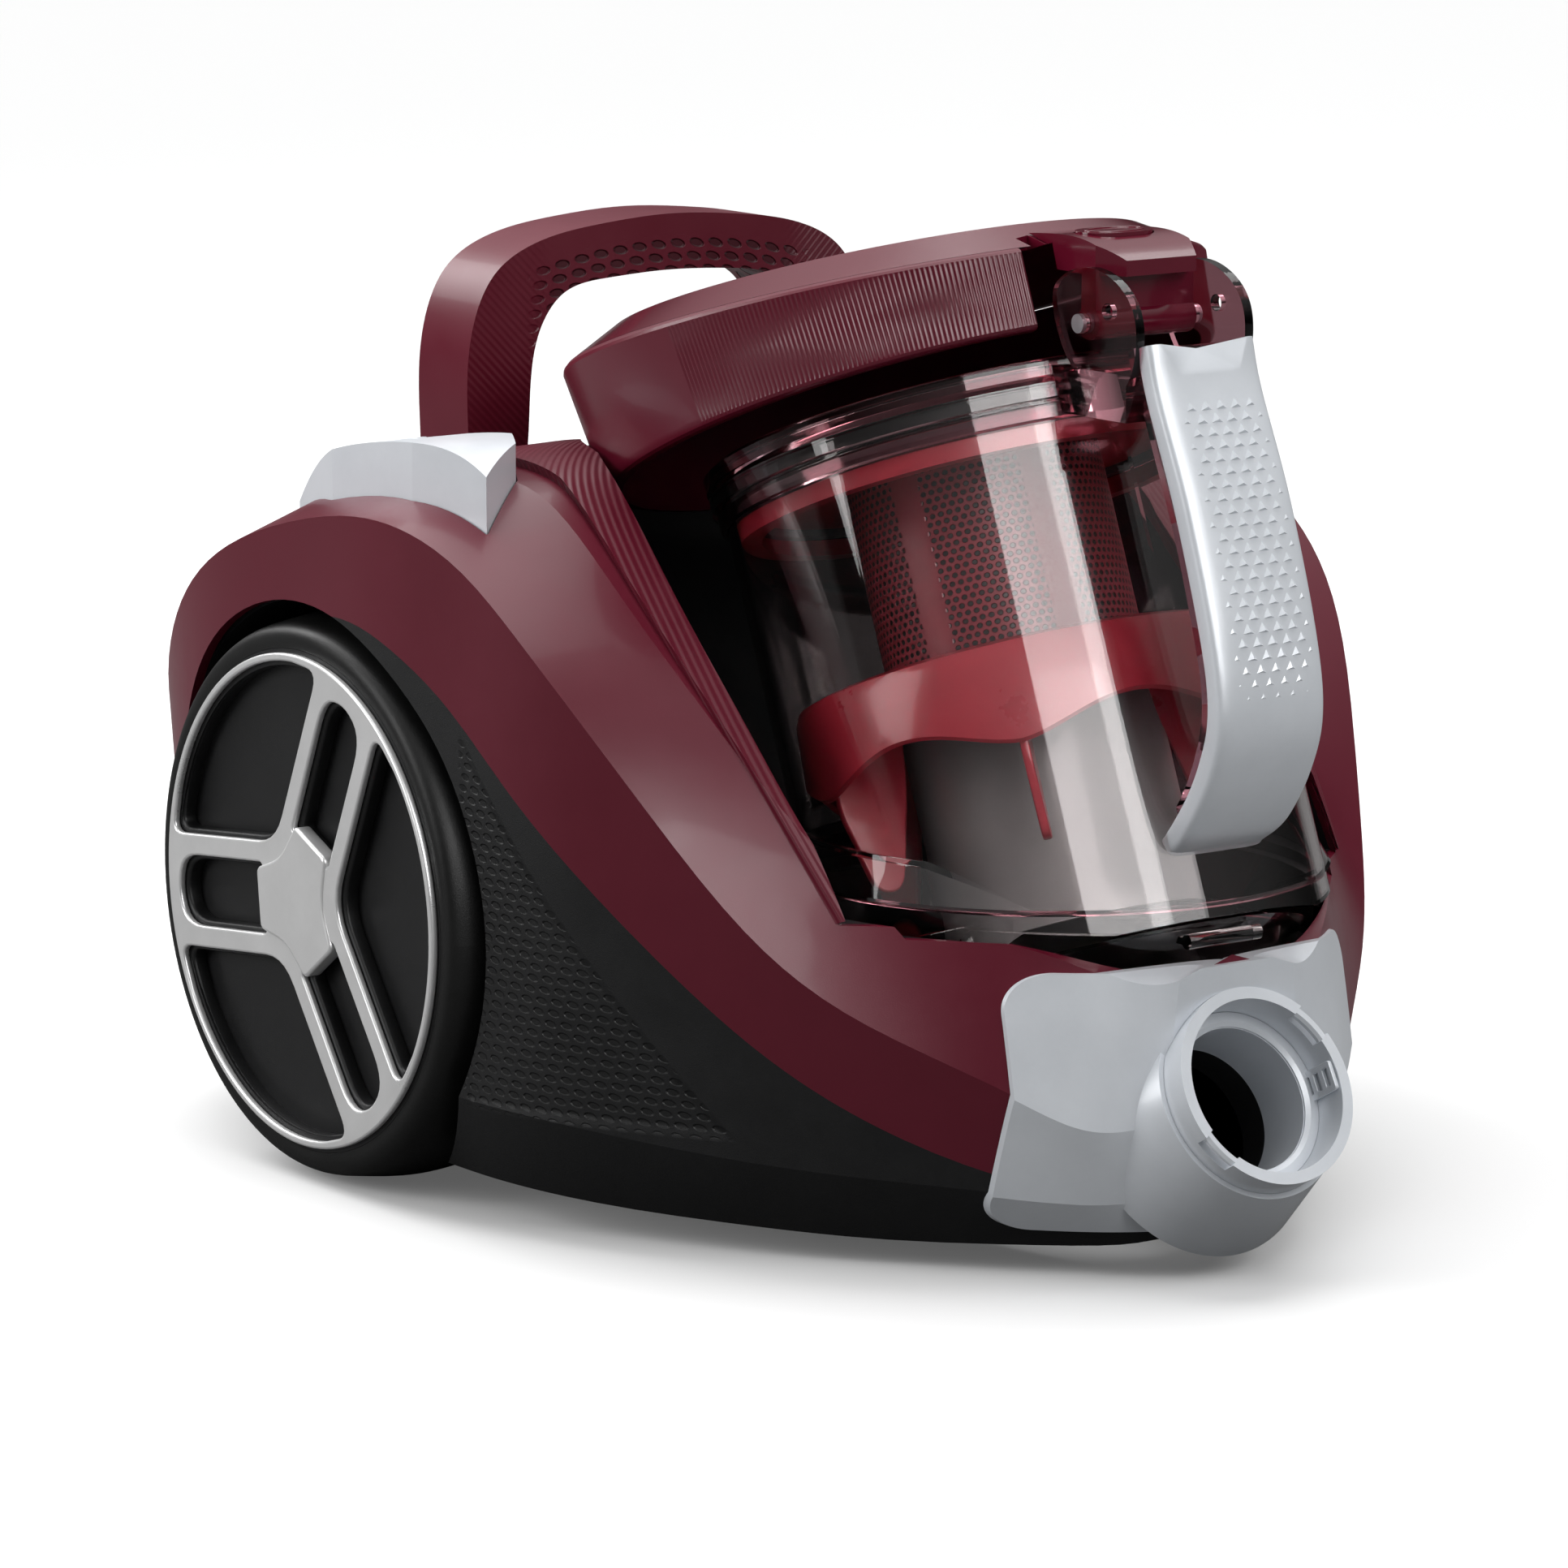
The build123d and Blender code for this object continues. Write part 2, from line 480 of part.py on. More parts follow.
def lid():
    """Ribbed lid band, glossy crown, and the nose with its hinge knuckle and release button."""
    front = box(117.5, 200, -22, 22, 200, 259.5)
    for side in (-1, 1):
        front = front + box(104, 200, side * 16.1, side * 20, 200, 280)
    column = lid_column(0) - front
    room = lid_column(-4, low=-1, high=-3)
    pocket = button_space(0.4, BUTTON_TRAVEL + 0.5)
    keep("lid_band", column - room - pocket)
    crown = loft([oval(*LID_HIGH, -2, 0.1), oval(*LID_HIGH, -16, 8)]) - front
    keep("lid_crown", crown - pocket)
    top = [(46, 256), (84, 266), (112, 269.5), (128, 269), (140, 264.5)]
    plan = make_face(Polyline((40, -15.5), (132, -15.5), (141, -11), (141, 11), (132, 15.5), (40, 15.5), close=True))
    nose = slab_xz(top, 25, closed_low=236) & (Pos(0, 0, 200) * extrude(plan, 100))
    nose = nose - box(90, 170, -30, 30, 200, 260.4)
    web = box(HINGE[0] - 3, HINGE[0] + 3, -15.5, 15.5, HINGE[2], 262)
    nose = nose + cyl(4.5, -15.5, 15.5, HINGE[0], HINGE[2]) + web - cyl(HINGE_PIN_R + 0.05, -60, 60, HINGE[0], HINGE[2])
    nose = nose - lid_column(0.1, high=0.1) - loft([oval(*LID_HIGH, -1.5, 0), oval(*LID_HIGH, -15.5, 8.4)])
    keep("lid_nose", nose - pocket)
    keep("lid_button", button_space(0, 0))
    keep("hinge_pin", cyl(HINGE_PIN_R, -20.5, 20.5, HINGE[0], HINGE[2]))


def button_space(gap, deeper):
    """The oval lid button, larger by gap all round and reaching deeper into the lid."""
    plan = Pos(BUTTON_X, 0, BUTTON_LOW - deeper) * SlotOverall(22 + 2 * gap, 14 + 2 * gap, rotation=90)
    return extrude(plan, BUTTON_TALL + deeper + gap)


housing()
rear_wheels()
castor()
front()
bay_liner()
upper_works()
pedals()
motor()
reel()
rear_fittings()
container()
grip()
lid()

for name, shape in PIECES.items():
    export_step(shape, f"parts/{name}.step")
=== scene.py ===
"""Looks for the canister vacuum cleaner, in the CAD model's own frame: +X forwards, +Y left, +Z up, metres.

Mesh outlines are written in mm. Shader values and lamps are in metres."""

import json
import math

import bmesh
import bpy
import numpy as np
from mathutils import Matrix, Vector


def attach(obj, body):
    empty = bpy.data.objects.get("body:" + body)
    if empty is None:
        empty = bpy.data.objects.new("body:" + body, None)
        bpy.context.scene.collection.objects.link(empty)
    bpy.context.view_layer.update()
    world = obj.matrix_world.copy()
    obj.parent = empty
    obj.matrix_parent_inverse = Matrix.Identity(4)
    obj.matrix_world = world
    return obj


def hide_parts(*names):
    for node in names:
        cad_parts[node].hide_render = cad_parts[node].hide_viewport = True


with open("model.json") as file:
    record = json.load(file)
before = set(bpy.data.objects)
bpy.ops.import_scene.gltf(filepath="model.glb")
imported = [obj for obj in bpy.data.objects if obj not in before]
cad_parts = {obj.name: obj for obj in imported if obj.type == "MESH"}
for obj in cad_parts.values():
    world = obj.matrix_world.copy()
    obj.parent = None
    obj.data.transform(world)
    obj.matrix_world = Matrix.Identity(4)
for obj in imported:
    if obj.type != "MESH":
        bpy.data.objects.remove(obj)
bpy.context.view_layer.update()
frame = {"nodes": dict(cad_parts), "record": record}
NODES = frame["nodes"]
MM = 0.001
FULL_TURN = 2 * math.pi

# ------------------------------------------------------------------ driving dimensions, in mm
TILT, CUP_TOP = 22.0, (55.0, 0.0, 211.0)                # the cup's lean in degrees, and the middle of its rim
WHEEL_X, WHEEL_R, WHEEL_OUT = -57.0, 79.0, 145.0        # the axle's x, the tyre, and the wheel's outer face
INLET, INLET_PITCH = (187.0, 0.0, 54.0), 29.0           # middle of the hose socket's mouth, and its pitch
LID_LOW = (32.0, 211.0, 97.0, 79.0, 22.0)               # x, z, half length, half width, tilt
LID_HIGH = (17.5, 239.5, 102.0, 82.0, 16.0)


# ------------------------------------------------------------------ materials
COAT_ROUGH = 0.08
SLOW_LOW, SLOW_HIGH = 0.3, 0.7      # the part of the slow noise that the gloss and the tint are spread over


def new_mat(name, color, rough, metallic=0.0, coat=0.0, spec=0.5):
    """A Principled material with uniform values. grain() then varies the colour and the roughness."""
    mat = bpy.data.materials.new(name)
    mat.use_nodes = True
    bsdf = mat.node_tree.nodes["Principled BSDF"]
    bsdf.inputs["Base Color"].default_value = (*color, 1)
    bsdf.inputs["Roughness"].default_value = rough
    bsdf.inputs["Metallic"].default_value = metallic
    bsdf.inputs["Coat Weight"].default_value = coat
    bsdf.inputs["Coat Roughness"].default_value = COAT_ROUGH
    bsdf.inputs["Specular IOR Level"].default_value = spec
    return mat


def add(mat, kind, **values):
    """A new node. Each value goes to the input of that name, or else to the property."""
    node = mat.node_tree.nodes.new(kind)
    for key, value in values.items():
        if key in node.inputs:
            node.inputs[key].default_value = value
        else:
            setattr(node, key, value)
    return node


def link(mat, a, b):
    mat.node_tree.links.new(a, b)


def math_node(mat, operation, *values):
    """A Math node whose inputs are numbers or other nodes' outputs. Returns its output."""
    node = add(mat, "ShaderNodeMath", operation=operation)
    for k, value in enumerate(values):
        if isinstance(value, (int, float)):
            node.inputs[k].default_value = value
        else:
            link(mat, value, node.inputs[k])
    return node.outputs[0]


def map_range(mat, value, given, wanted=(0.0, 1.0), **values):
    """Spreads value from the span given to the span wanted. Returns the node's output."""
    node = add(mat, "ShaderNodeMapRange", **values)
    for name, limit in zip(("From Min", "From Max", "To Min", "To Max"), (*given, *wanted)):
        node.inputs[name].default_value = limit
    link(mat, value, node.inputs["Value"])
    return node.outputs["Result"]


def grain(mat, scale, strength, distance, rough_lo, rough_hi, smear, tint):
    """Moulding grain as a fine bump, with slow variation in gloss and colour."""
    bsdf = mat.node_tree.nodes["Principled BSDF"]
    co = add(mat, "ShaderNodeTexCoord")
    fine = add(mat, "ShaderNodeTexNoise", Scale=scale, Detail=4.0, Roughness=0.6)
    link(mat, co.outputs["Object"], fine.inputs["Vector"])
    bump = add(mat, "ShaderNodeBump", Strength=strength, Distance=distance)
    link(mat, fine.outputs["Fac"], bump.inputs["Height"])
    link(mat, bump.outputs["Normal"], bsdf.inputs["Normal"])
    slow = add(mat, "ShaderNodeTexNoise", Scale=smear, Detail=6.0, Roughness=0.7)
    link(mat, co.outputs["Object"], slow.inputs["Vector"])
    gloss = map_range(mat, slow.outputs["Fac"], (SLOW_LOW, SLOW_HIGH), (rough_lo, rough_hi))
    link(mat, gloss, bsdf.inputs["Roughness"])
    ramp = add(mat, "ShaderNodeValToRGB")
    for stop, position, color in zip(ramp.color_ramp.elements, (SLOW_LOW, SLOW_HIGH), tint):
        stop.position = position
        stop.color = (*color, 1)
    link(mat, slow.outputs["Fac"], ramp.inputs["Fac"])
    link(mat, ramp.outputs["Color"], bsdf.inputs["Base Color"])
    return mat


def carve(mat, height, strength, distance):
    """Adds a second bump, from the height output given, on top of the material's grain."""
    bsdf = mat.node_tree.nodes["Principled BSDF"]
    first = bsdf.inputs["Normal"].links[0].from_socket
    bump = add(mat, "ShaderNodeBump", Strength=strength, Distance=distance)
    link(mat, height, bump.inputs["Height"])
    link(mat, first, bump.inputs["Normal"])
    link(mat, bump.outputs["Normal"], bsdf.inputs["Normal"])


def paint_shade(mat, mask, color):
    """Mixes a darker colour in where mask is 1, as painted shade."""
    bsdf = mat.node_tree.nodes["Principled BSDF"]
    base = bsdf.inputs["Base Color"].links[0].from_socket
    mix = add(mat, "ShaderNodeMix", data_type="RGBA")
    link(mat, mask, mix.inputs["Factor"])
    link(mat, base, mix.inputs["A"])
    mix.inputs["B"].default_value = (*color, 1)
    link(mat, mix.outputs["Result"], bsdf.inputs["Base Color"])


def axes(mat, output="Object"):
    """The object's own coordinates, or its own normal, as three outputs."""
    co = add(mat, "ShaderNodeTexCoord")
    parts = add(mat, "ShaderNodeSeparateXYZ")
    link(mat, co.outputs[output], parts.inputs[0])
    return parts.outputs[0], parts.outputs[1], parts.outputs[2]


def wave(mat, value, pitch):
    """Smooth ridges, 0 to 1, one for each pitch of value."""
    turn = math_node(mat, "MULTIPLY", value, FULL_TURN / pitch)
    return math_node(mat, "MULTIPLY_ADD", math_node(mat, "SINE", turn), 0.5, 0.5)


DOT_FULL, DOT_END = 0.26, 0.38      # where a dot starts to fade and where it ends, as shares of its cell


def dots(mat, u, v, pitch_u, pitch_v):
    """Rows of round dots, 1 inside a dot and 0 outside, each second row shifted by half a pitch."""
    row = math_node(mat, "DIVIDE", v, pitch_v)
    odd = math_node(mat, "FLOORED_MODULO", math_node(mat, "FLOOR", row), 2.0)
    shift = math_node(mat, "MULTIPLY", odd, 0.5)
    col = math_node(mat, "ADD", math_node(mat, "DIVIDE", u, pitch_u), shift)
    du = math_node(mat, "SUBTRACT", math_node(mat, "FRACT", col), 0.5)
    dv = math_node(mat, "SUBTRACT", math_node(mat, "FRACT", row), 0.5)
    away = math_node(mat, "SQRT", math_node(mat, "ADD", math_node(mat, "MULTIPLY", du, du),
                                            math_node(mat, "MULTIPLY", dv, dv)))
    return map_range(mat, away, (DOT_FULL, DOT_END), (1.0, 0.0), interpolation_type="SMOOTHSTEP")


def above(mat, value, limit, soft):
    """0 below limit, 1 above it, with a soft step."""
    return map_range(mat, value, (limit - soft, limit + soft), interpolation_type="SMOOTHSTEP")


def below(mat, value, limit, soft):
    """1 below limit, 0 above it, with a soft step."""
    return above(mat, math_node(mat, "MULTIPLY", value, -1.0), -limit, soft)


def times(mat, *values):
    """Product of masks."""
    out = values[0]
    for value in values[1:]:
        out = math_node(mat, "MULTIPLY", out, value)
    return out


def plastic(name, color, rough, fine, gloss, smear, tint, **finish):
    """A moulded material. fine is its grain's scale, strength and depth, gloss the span of its roughness,
    smear the scale of the slow variation, and tint the two ends of its colour."""
    return grain(new_mat(name, color, rough, **finish), *fine, *gloss, smear, tint)


def burgundy(name, coat=0.12, gloss=(0.28, 0.36)):
    """The shell's dark red, more or less glossy."""
    return plastic(name, (0.11, 0.004, 0.016), 0.3, (2600, 0.05, 0.0004), gloss, 22,
                   ((0.104, 0.0035, 0.0150), (0.116, 0.0048, 0.0180)), coat=coat, spec=0.32)


RIDGE_PITCH, RIDGE_STRENGTH, RIDGE_DEPTH = 0.0026, 0.45, 0.0004
LEG_SIDE = 0.044                            # |y| where the handle's arch turns into its legs, in metres
ARCH_BEND, ARCH_EDGE = 2.6, 0.2510          # the dimpled band follows z + bend * y squared, up to this height
ARCH_UNDER = 0.225                          # the under side of the arch is above this height
DIMPLE_PITCH, DIMPLE_ROW, UNDER_ROW = 0.0066, 0.0038, 0.0062
FIELD_SLOPE, FIELD_HIGH = 1.35, 0.158       # the dashes stay under the line z + slope * x = high
FIELD_LOW, FIELD_REAR, FIELD_SIDE = 0.036, 0.018, 0.08
DASH_PITCH, DASH_ROW = 0.0046, 0.0030


def diagonal(mat):
    """Ridges that run down towards the front on both sides of the cleaner."""
    x, y, z = axes(mat)
    side = math_node(mat, "ABSOLUTE", y)
    return wave(mat, math_node(mat, "ADD", math_node(mat, "SUBTRACT", x, side), z), RIDGE_PITCH)


def ribbed_burgundy():
    """Dull burgundy with diagonal ridges, for the side bands."""
    mat = burgundy("burgundy_ribbed", coat=0.05, gloss=(0.36, 0.46))
    carve(mat, diagonal(mat), RIDGE_STRENGTH, RIDGE_DEPTH)
    return mat


def handle_burgundy():
    """Plain at the sides, ridged on the front of the legs, with rows of dimples, painted darker as shade, in
    and under the arch.
    """
    mat = burgundy("burgundy_handle", coat=0.1, gloss=(0.34, 0.44))
    x, y, z = axes(mat)
    nx, _, nz = axes(mat, "Normal")
    front = above(mat, nx, 0.6, 0.1)
    leg = above(mat, math_node(mat, "ABSOLUTE", y), LEG_SIDE, 0.006)
    carve(mat, times(mat, diagonal(mat), front, leg), RIDGE_STRENGTH, RIDGE_DEPTH)
    under = times(mat, below(mat, nz, -0.25, 0.1), above(mat, z, ARCH_UNDER, 0.003))
    arch = math_node(mat, "MULTIPLY_ADD", times(mat, y, y), ARCH_BEND, z)
    band = times(mat, front, below(mat, arch, ARCH_EDGE, 0.0006), math_node(mat, "SUBTRACT", 1.0, leg))
    slant = math_node(mat, "MULTIPLY_ADD", arch, 0.6, y)
    in_band = times(mat, dots(mat, slant, arch, DIMPLE_PITCH, DIMPLE_ROW), band)
    dimple = math_node(mat, "MAXIMUM", in_band, times(mat, dots(mat, y, x, DIMPLE_PITCH, UNDER_ROW), under))
    carve(mat, math_node(mat, "MULTIPLY", dimple, -1.0), 1.0, 0.0012)
    # painted shade: the dimples are mixed towards a darker burgundy for the shade in their hollows
    paint_shade(mat, math_node(mat, "MULTIPLY", dimple, 0.7), (0.02, 0.0015, 0.004))
    return mat


def black_sides():
    """Matt black with a sunken field of small dashes on each side, ahead of the wheels, the dashes painted
    darker as shade.
    """
    mat = plastic("black_sides", (0.007, 0.007, 0.007), 0.5, (3200, 0.25, 0.0005), (0.42, 0.55), 40,
                  ((0.0055, 0.0055, 0.006), (0.0085, 0.0085, 0.009)), spec=0.3)
    x, y, z = axes(mat)
    slope = math_node(mat, "MULTIPLY_ADD", x, FIELD_SLOPE, z)
    field = times(mat, below(mat, slope, FIELD_HIGH, 0.002), above(mat, z, FIELD_LOW, 0.002),
                  above(mat, x, FIELD_REAR, 0.002),
                  above(mat, math_node(mat, "ABSOLUTE", y), FIELD_SIDE, 0.004))
    slant = math_node(mat, "MULTIPLY_ADD", z, 0.4, x)
    dash = times(mat, dots(mat, slant, z, DASH_PITCH, DASH_ROW), field)
    sunk = math_node(mat, "ADD", dash, math_node(mat, "MULTIPLY", field, 0.6))
    carve(mat, math_node(mat, "MULTIPLY", sunk, -1.0), 0.8, 0.0010)
    # painted shade: the sunken dashes are mixed towards near black for the shade inside them
    paint_shade(mat, math_node(mat, "MULTIPLY", dash, 0.6), (0.003, 0.003, 0.003))
    return mat


MATT, SATIN, MOULDED = (3200, 0.25, 0.0005), (3800, 0.06, 0.0003), (1800, 0.08, 0.0004)

BURGUNDY = burgundy("burgundy")
GLOSS = burgundy("burgundy_gloss", coat=0.5, gloss=(0.14, 0.20))
RIBBED = ribbed_burgundy()
HANDLE = handle_burgundy()
SIDES = black_sides()
BLACK = plastic("black_plastic", (0.008, 0.008, 0.009), 0.5, MATT, (0.42, 0.55), 40,
                ((0.006, 0.006, 0.007), (0.010, 0.010, 0.011)), spec=0.3)
WHEEL_BLACK = plastic("wheel_black", (0.008, 0.008, 0.008), 0.42, (3000, 0.12, 0.0004), (0.36, 0.48), 40,
                      ((0.006, 0.006, 0.0065), (0.009, 0.009, 0.0095)), spec=0.3)
RUBBER = plastic("tyre_rubber", (0.006, 0.006, 0.006), 0.5, (2200, 0.15, 0.0004), (0.38, 0.5), 55,
                 ((0.0045, 0.0045, 0.0045), (0.0075, 0.0075, 0.0075)), spec=0.22)
SILVER = plastic("silver", (0.75, 0.78, 0.83), 0.34, SATIN, (0.30, 0.38), 30,
                 ((0.64, 0.67, 0.71), (0.70, 0.73, 0.77)), metallic=0.1, coat=0.2)
TRIM = plastic("silver_trim", (0.7, 0.7, 0.7), 0.3, SATIN, (0.26, 0.36), 30,
               ((0.66, 0.66, 0.66), (0.74, 0.74, 0.74)), metallic=0.45)
STEEL = plastic("steel", (0.5, 0.5, 0.52), 0.3, (1500, 0.1, 0.0003), (0.25, 0.4), 60,
                ((0.45, 0.45, 0.47), (0.55, 0.55, 0.57)), metallic=1.0)
RED = plastic("red_plastic", (0.26, 0.018, 0.03), 0.3, MOULDED, (0.26, 0.36), 30,
              ((0.34, 0.018, 0.034), (0.40, 0.026, 0.044)), coat=0.3)
GREY = plastic("grey_plastic", (0.16, 0.16, 0.17), 0.35, MOULDED, (0.3, 0.4), 30,
               ((0.20, 0.20, 0.20), (0.24, 0.24, 0.24)), coat=0.2)
GASKET = plastic("gasket", (0.10, 0.13, 0.13), 0.5, MOULDED, (0.45, 0.55), 30,
                 ((0.10, 0.13, 0.13), (0.13, 0.16, 0.16)))
FOAM = plastic("filter_foam", (0.7, 0.7, 0.66), 0.9, (900, 0.6, 0.001), (0.8, 0.95), 60,
               ((0.62, 0.62, 0.58), (0.74, 0.74, 0.70)))

TUBE_R = 0.035                              # radius of the filter tube, in metres, for its pattern of holes
HOLE_PITCH, HOLE_ROW, STRIP_HALF = 0.0024, 0.0021, 0.36


def mesh_red():
    """Red filter tube with staggered holes, painted near black as the shade inside them, between plain
    upright strips.
    """
    mat = plastic("mesh_red", (0.2, 0.02, 0.03), 0.4, MOULDED, (0.35, 0.45), 30,
                  ((0.20, 0.020, 0.032), (0.25, 0.028, 0.042)))
    co = add(mat, "ShaderNodeTexCoord")
    lean = add(mat, "ShaderNodeVectorRotate", rotation_type="Y_AXIS", Angle=math.radians(TILT))
    lean.inputs["Center"].default_value = tuple(c * MM for c in CUP_TOP)
    link(mat, co.outputs["Object"], lean.inputs["Vector"])
    parts = add(mat, "ShaderNodeSeparateXYZ")
    link(mat, lean.outputs[0], parts.inputs[0])
    x = math_node(mat, "SUBTRACT", parts.outputs[0], CUP_TOP[0] * MM)
    turn = math_node(mat, "ARCTAN2", parts.outputs[1], x)
    hole = dots(mat, math_node(mat, "MULTIPLY", turn, TUBE_R), parts.outputs[2], HOLE_PITCH, HOLE_ROW)
    strip = math_node(mat, "ABSOLUTE", math_node(mat, "SINE", math_node(mat, "MULTIPLY_ADD", turn, 3.0, 0.5)))
    hole = times(mat, hole, above(mat, strip, STRIP_HALF, 0.03))
    # painted shade: each hole is coloured near black for the shaded inside of the tube
    paint_shade(mat, hole, (0.006, 0.004, 0.004))
    carve(mat, math_node(mat, "MULTIPLY", hole, -1.0), 0.8, 0.0006)
    return mat


MESH = mesh_red()


CLEAR_IOR = 1.4


def clear_mat(name, color, rough):
    """Clear plastic with a faint, slow unevenness."""
    mat = new_mat(name, color, rough)
    bsdf = mat.node_tree.nodes["Principled BSDF"]
    bsdf.inputs["Transmission Weight"].default_value = 1.0
    bsdf.inputs["IOR"].default_value = CLEAR_IOR
    co = add(mat, "ShaderNodeTexCoord")
    slow = add(mat, "ShaderNodeTexNoise", Scale=45.0, Detail=5.0)
    bump = add(mat, "ShaderNodeBump", Strength=0.03, Distance=0.0005)
    link(mat, co.outputs["Object"], slow.inputs["Vector"])
    link(mat, slow.outputs["Fac"], bump.inputs["Height"])
    link(mat, bump.outputs["Normal"], bsdf.inputs["Normal"])
    return mat


CLEAR = clear_mat("smoky_clear", (0.90, 0.84, 0.84), 0.02)
RIM_CLEAR = clear_mat("rim_clear", (0.72, 0.42, 0.46), 0.05)
RED_CLEAR = clear_mat("red_clear", (0.72, 0.32, 0.38), 0.04)

SLOTS = {"burgundy": BURGUNDY, "black_plastic": BLACK, "wheel_black": WHEEL_BLACK, "tyre_rubber": RUBBER,
         "castor_rubber": RUBBER, "silver": SILVER, "steel": STEEL, "clear": CLEAR, "red_clear": RED_CLEAR,
         "red_plastic": RED, "mesh": MESH, "grey_plastic": GREY, "filter_foam": FOAM}
OWN = {"lid_crown": GLOSS, "lid_nose": GLOSS, "lid_button": GLOSS, "side_trim_right": RIBBED,
       "side_trim_left": RIBBED, "carry_handle": HANDLE, "base_tray": SIDES}
for part in frame["record"]["subparts"]:
    finish = NODES[part["node"]].data.materials
    finish.clear()
    finish.append(OWN.get(part["node"], SLOTS[part["material_slot"]]))


# ------------------------------------------------------------------ mesh helpers
SHARP, SAME_SPOT = 32, 1e-6         # degrees past which an edge stays sharp, and metres to merge points


def piece(name, verts, faces, mat, body, *nodes, sharp=SHARP):
    """A mesh piece from points in mm, which rides a body and may stand for CAD nodes."""
    bm = bmesh.new()
    made = [bm.verts.new([c * MM for c in v]) for v in verts]
    for face in faces:
        bm.faces.new([made[k] for k in face])
    bmesh.ops.remove_doubles(bm, verts=bm.verts, dist=SAME_SPOT)
    bmesh.ops.recalc_face_normals(bm, faces=bm.faces)
    mesh = bpy.data.meshes.new(name)
    bm.to_mesh(mesh)
    bm.free()
    return place(name, mesh, mat, body, *nodes, sharp=sharp)


def place(name, mesh, mat, body, *nodes, sharp=SHARP):
    """Files a mesh, in metres, as a piece that rides a body and may stand for CAD nodes."""
    mesh.materials.clear()
    mesh.materials.append(mat)
    mesh.shade_smooth()
    mesh.set_sharp_from_angle(angle=math.radians(sharp))
    obj = bpy.data.objects.new(name, mesh)
    bpy.context.scene.collection.objects.link(obj)
    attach(obj, body)
    if nodes:
        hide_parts(*nodes)
    return obj


def skin(rows, around=True, along=False):
    """Vertices and faces of a grid of points. rows has shape (rows, columns, 3).

    around joins the last column to the first, and along joins the last row to the first."""
    rows = np.asarray(rows, float)
    r, c = rows.shape[:2]
    faces = []
    for i in range(r if along else r - 1):
        for j in range(c if around else c - 1):
            k, m = (i + 1) % r, (j + 1) % c
            faces.append((i * c + j, i * c + m, k * c + m, k * c + j))
    return rows.reshape(-1, 3), faces


def moved(points, matrix):
    """Points through a 4 by 4 matrix."""
    points = np.asarray(points, float)
    flat = np.c_[points.reshape(-1, 3), np.ones(points.size // 3)]
    return (flat @ np.array(matrix).T)[:, :3].reshape(points.shape)


CUP_FRAME = Matrix.Translation(CUP_TOP) @ Matrix.Rotation(math.radians(-TILT), 4, "Y")
INLET_FRAME = Matrix.Translation(INLET) @ Matrix.Rotation(math.radians(90 - INLET_PITCH), 4, "Y")
WHEEL_FRAME = Matrix.Translation((WHEEL_X, 0, WHEEL_R)) @ Matrix.Rotation(math.radians(90), 4, "X")
MIRROR = Matrix.Scale(-1, 4, (0, 1, 0))


def turns(steps):
    """Even angles round a full turn."""
    return np.linspace(0, FULL_TURN, steps, endpoint=False)


def hoop(radius, z, angles):
    return [(radius * math.cos(a), radius * math.sin(a), z) for a in angles]


def turned(name, profile, mat, body, matrix, steps=120):
    """Closed profile of (radius, height) points turned about Z, then moved by matrix."""
    rows = [hoop(r, z, turns(steps)) for r, z in profile]
    verts, faces = skin(moved(rows, matrix), along=True)
    return piece(name, verts, faces, mat, body)


CORNER_STEPS, CORNER_SHARE = 6, 0.48        # points on a rounded corner, and the most of a side that it takes


def rounded(corners):
    """Closed outline with each corner (x, y, radius) eased by a curve."""
    out = []
    count = len(corners)
    for k, (x, y, r) in enumerate(corners):
        here = np.array((x, y))
        if r == 0:
            out.append(tuple(here))
            continue
        before = np.array(corners[k - 1][:2]) - here
        after = np.array(corners[(k + 1) % count][:2]) - here
        a = here + before / np.linalg.norm(before) * min(r, np.linalg.norm(before) * CORNER_SHARE)
        b = here + after / np.linalg.norm(after) * min(r, np.linalg.norm(after) * CORNER_SHARE)
        for s in np.linspace(0, 1, CORNER_STEPS):
            out.append(tuple((1 - s) ** 2 * a + 2 * s * (1 - s) * here + s ** 2 * b))
    return out


def oval(half_x, half_y, steps):
    return [(half_x * math.cos(a), half_y * math.sin(a)) for a in turns(steps)]


def scaled(outline, share_x, share_y):
    return [(x * share_x, y * share_y) for x, y in outline]


def oblong(half_x, half_y, radius, y=0.0):
    """Rounded rectangle about (0, y)."""
    return rounded([(-half_x, y - half_y, radius), (half_x, y - half_y, radius), (half_x, y + half_y, radius),
                    (-half_x, y + half_y, radius)])


def plate(loops, low, high, edge):
    """Mesh of a flat plate in mm with holes and softened edges, from z = low to z = high."""
    curve = bpy.data.curves.new("outline", "CURVE")
    curve.dimensions = "2D"
    curve.fill_mode = "BOTH"
    curve.extrude = (high - low) / 2 - edge
    curve.bevel_depth = edge
    curve.bevel_resolution = 2
    curve.offset = -edge
    for loop in loops:
        line = curve.splines.new("POLY")
        line.points.add(len(loop) - 1)
        line.use_cyclic_u = True
        for point, (x, y) in zip(line.points, loop):
            point.co = (x, y, 0, 1)
    carrier = bpy.data.objects.new("outline", curve)
    bpy.context.scene.collection.objects.link(carrier)
    bpy.context.view_layer.update()
    mesh = bpy.data.meshes.new_from_object(carrier.evaluated_get(bpy.context.evaluated_depsgraph_get()))
    bpy.data.objects.remove(carrier)
    bpy.data.curves.remove(curve)
    mesh.transform(Matrix.Translation((0, 0, (low + high) / 2)))
    return mesh


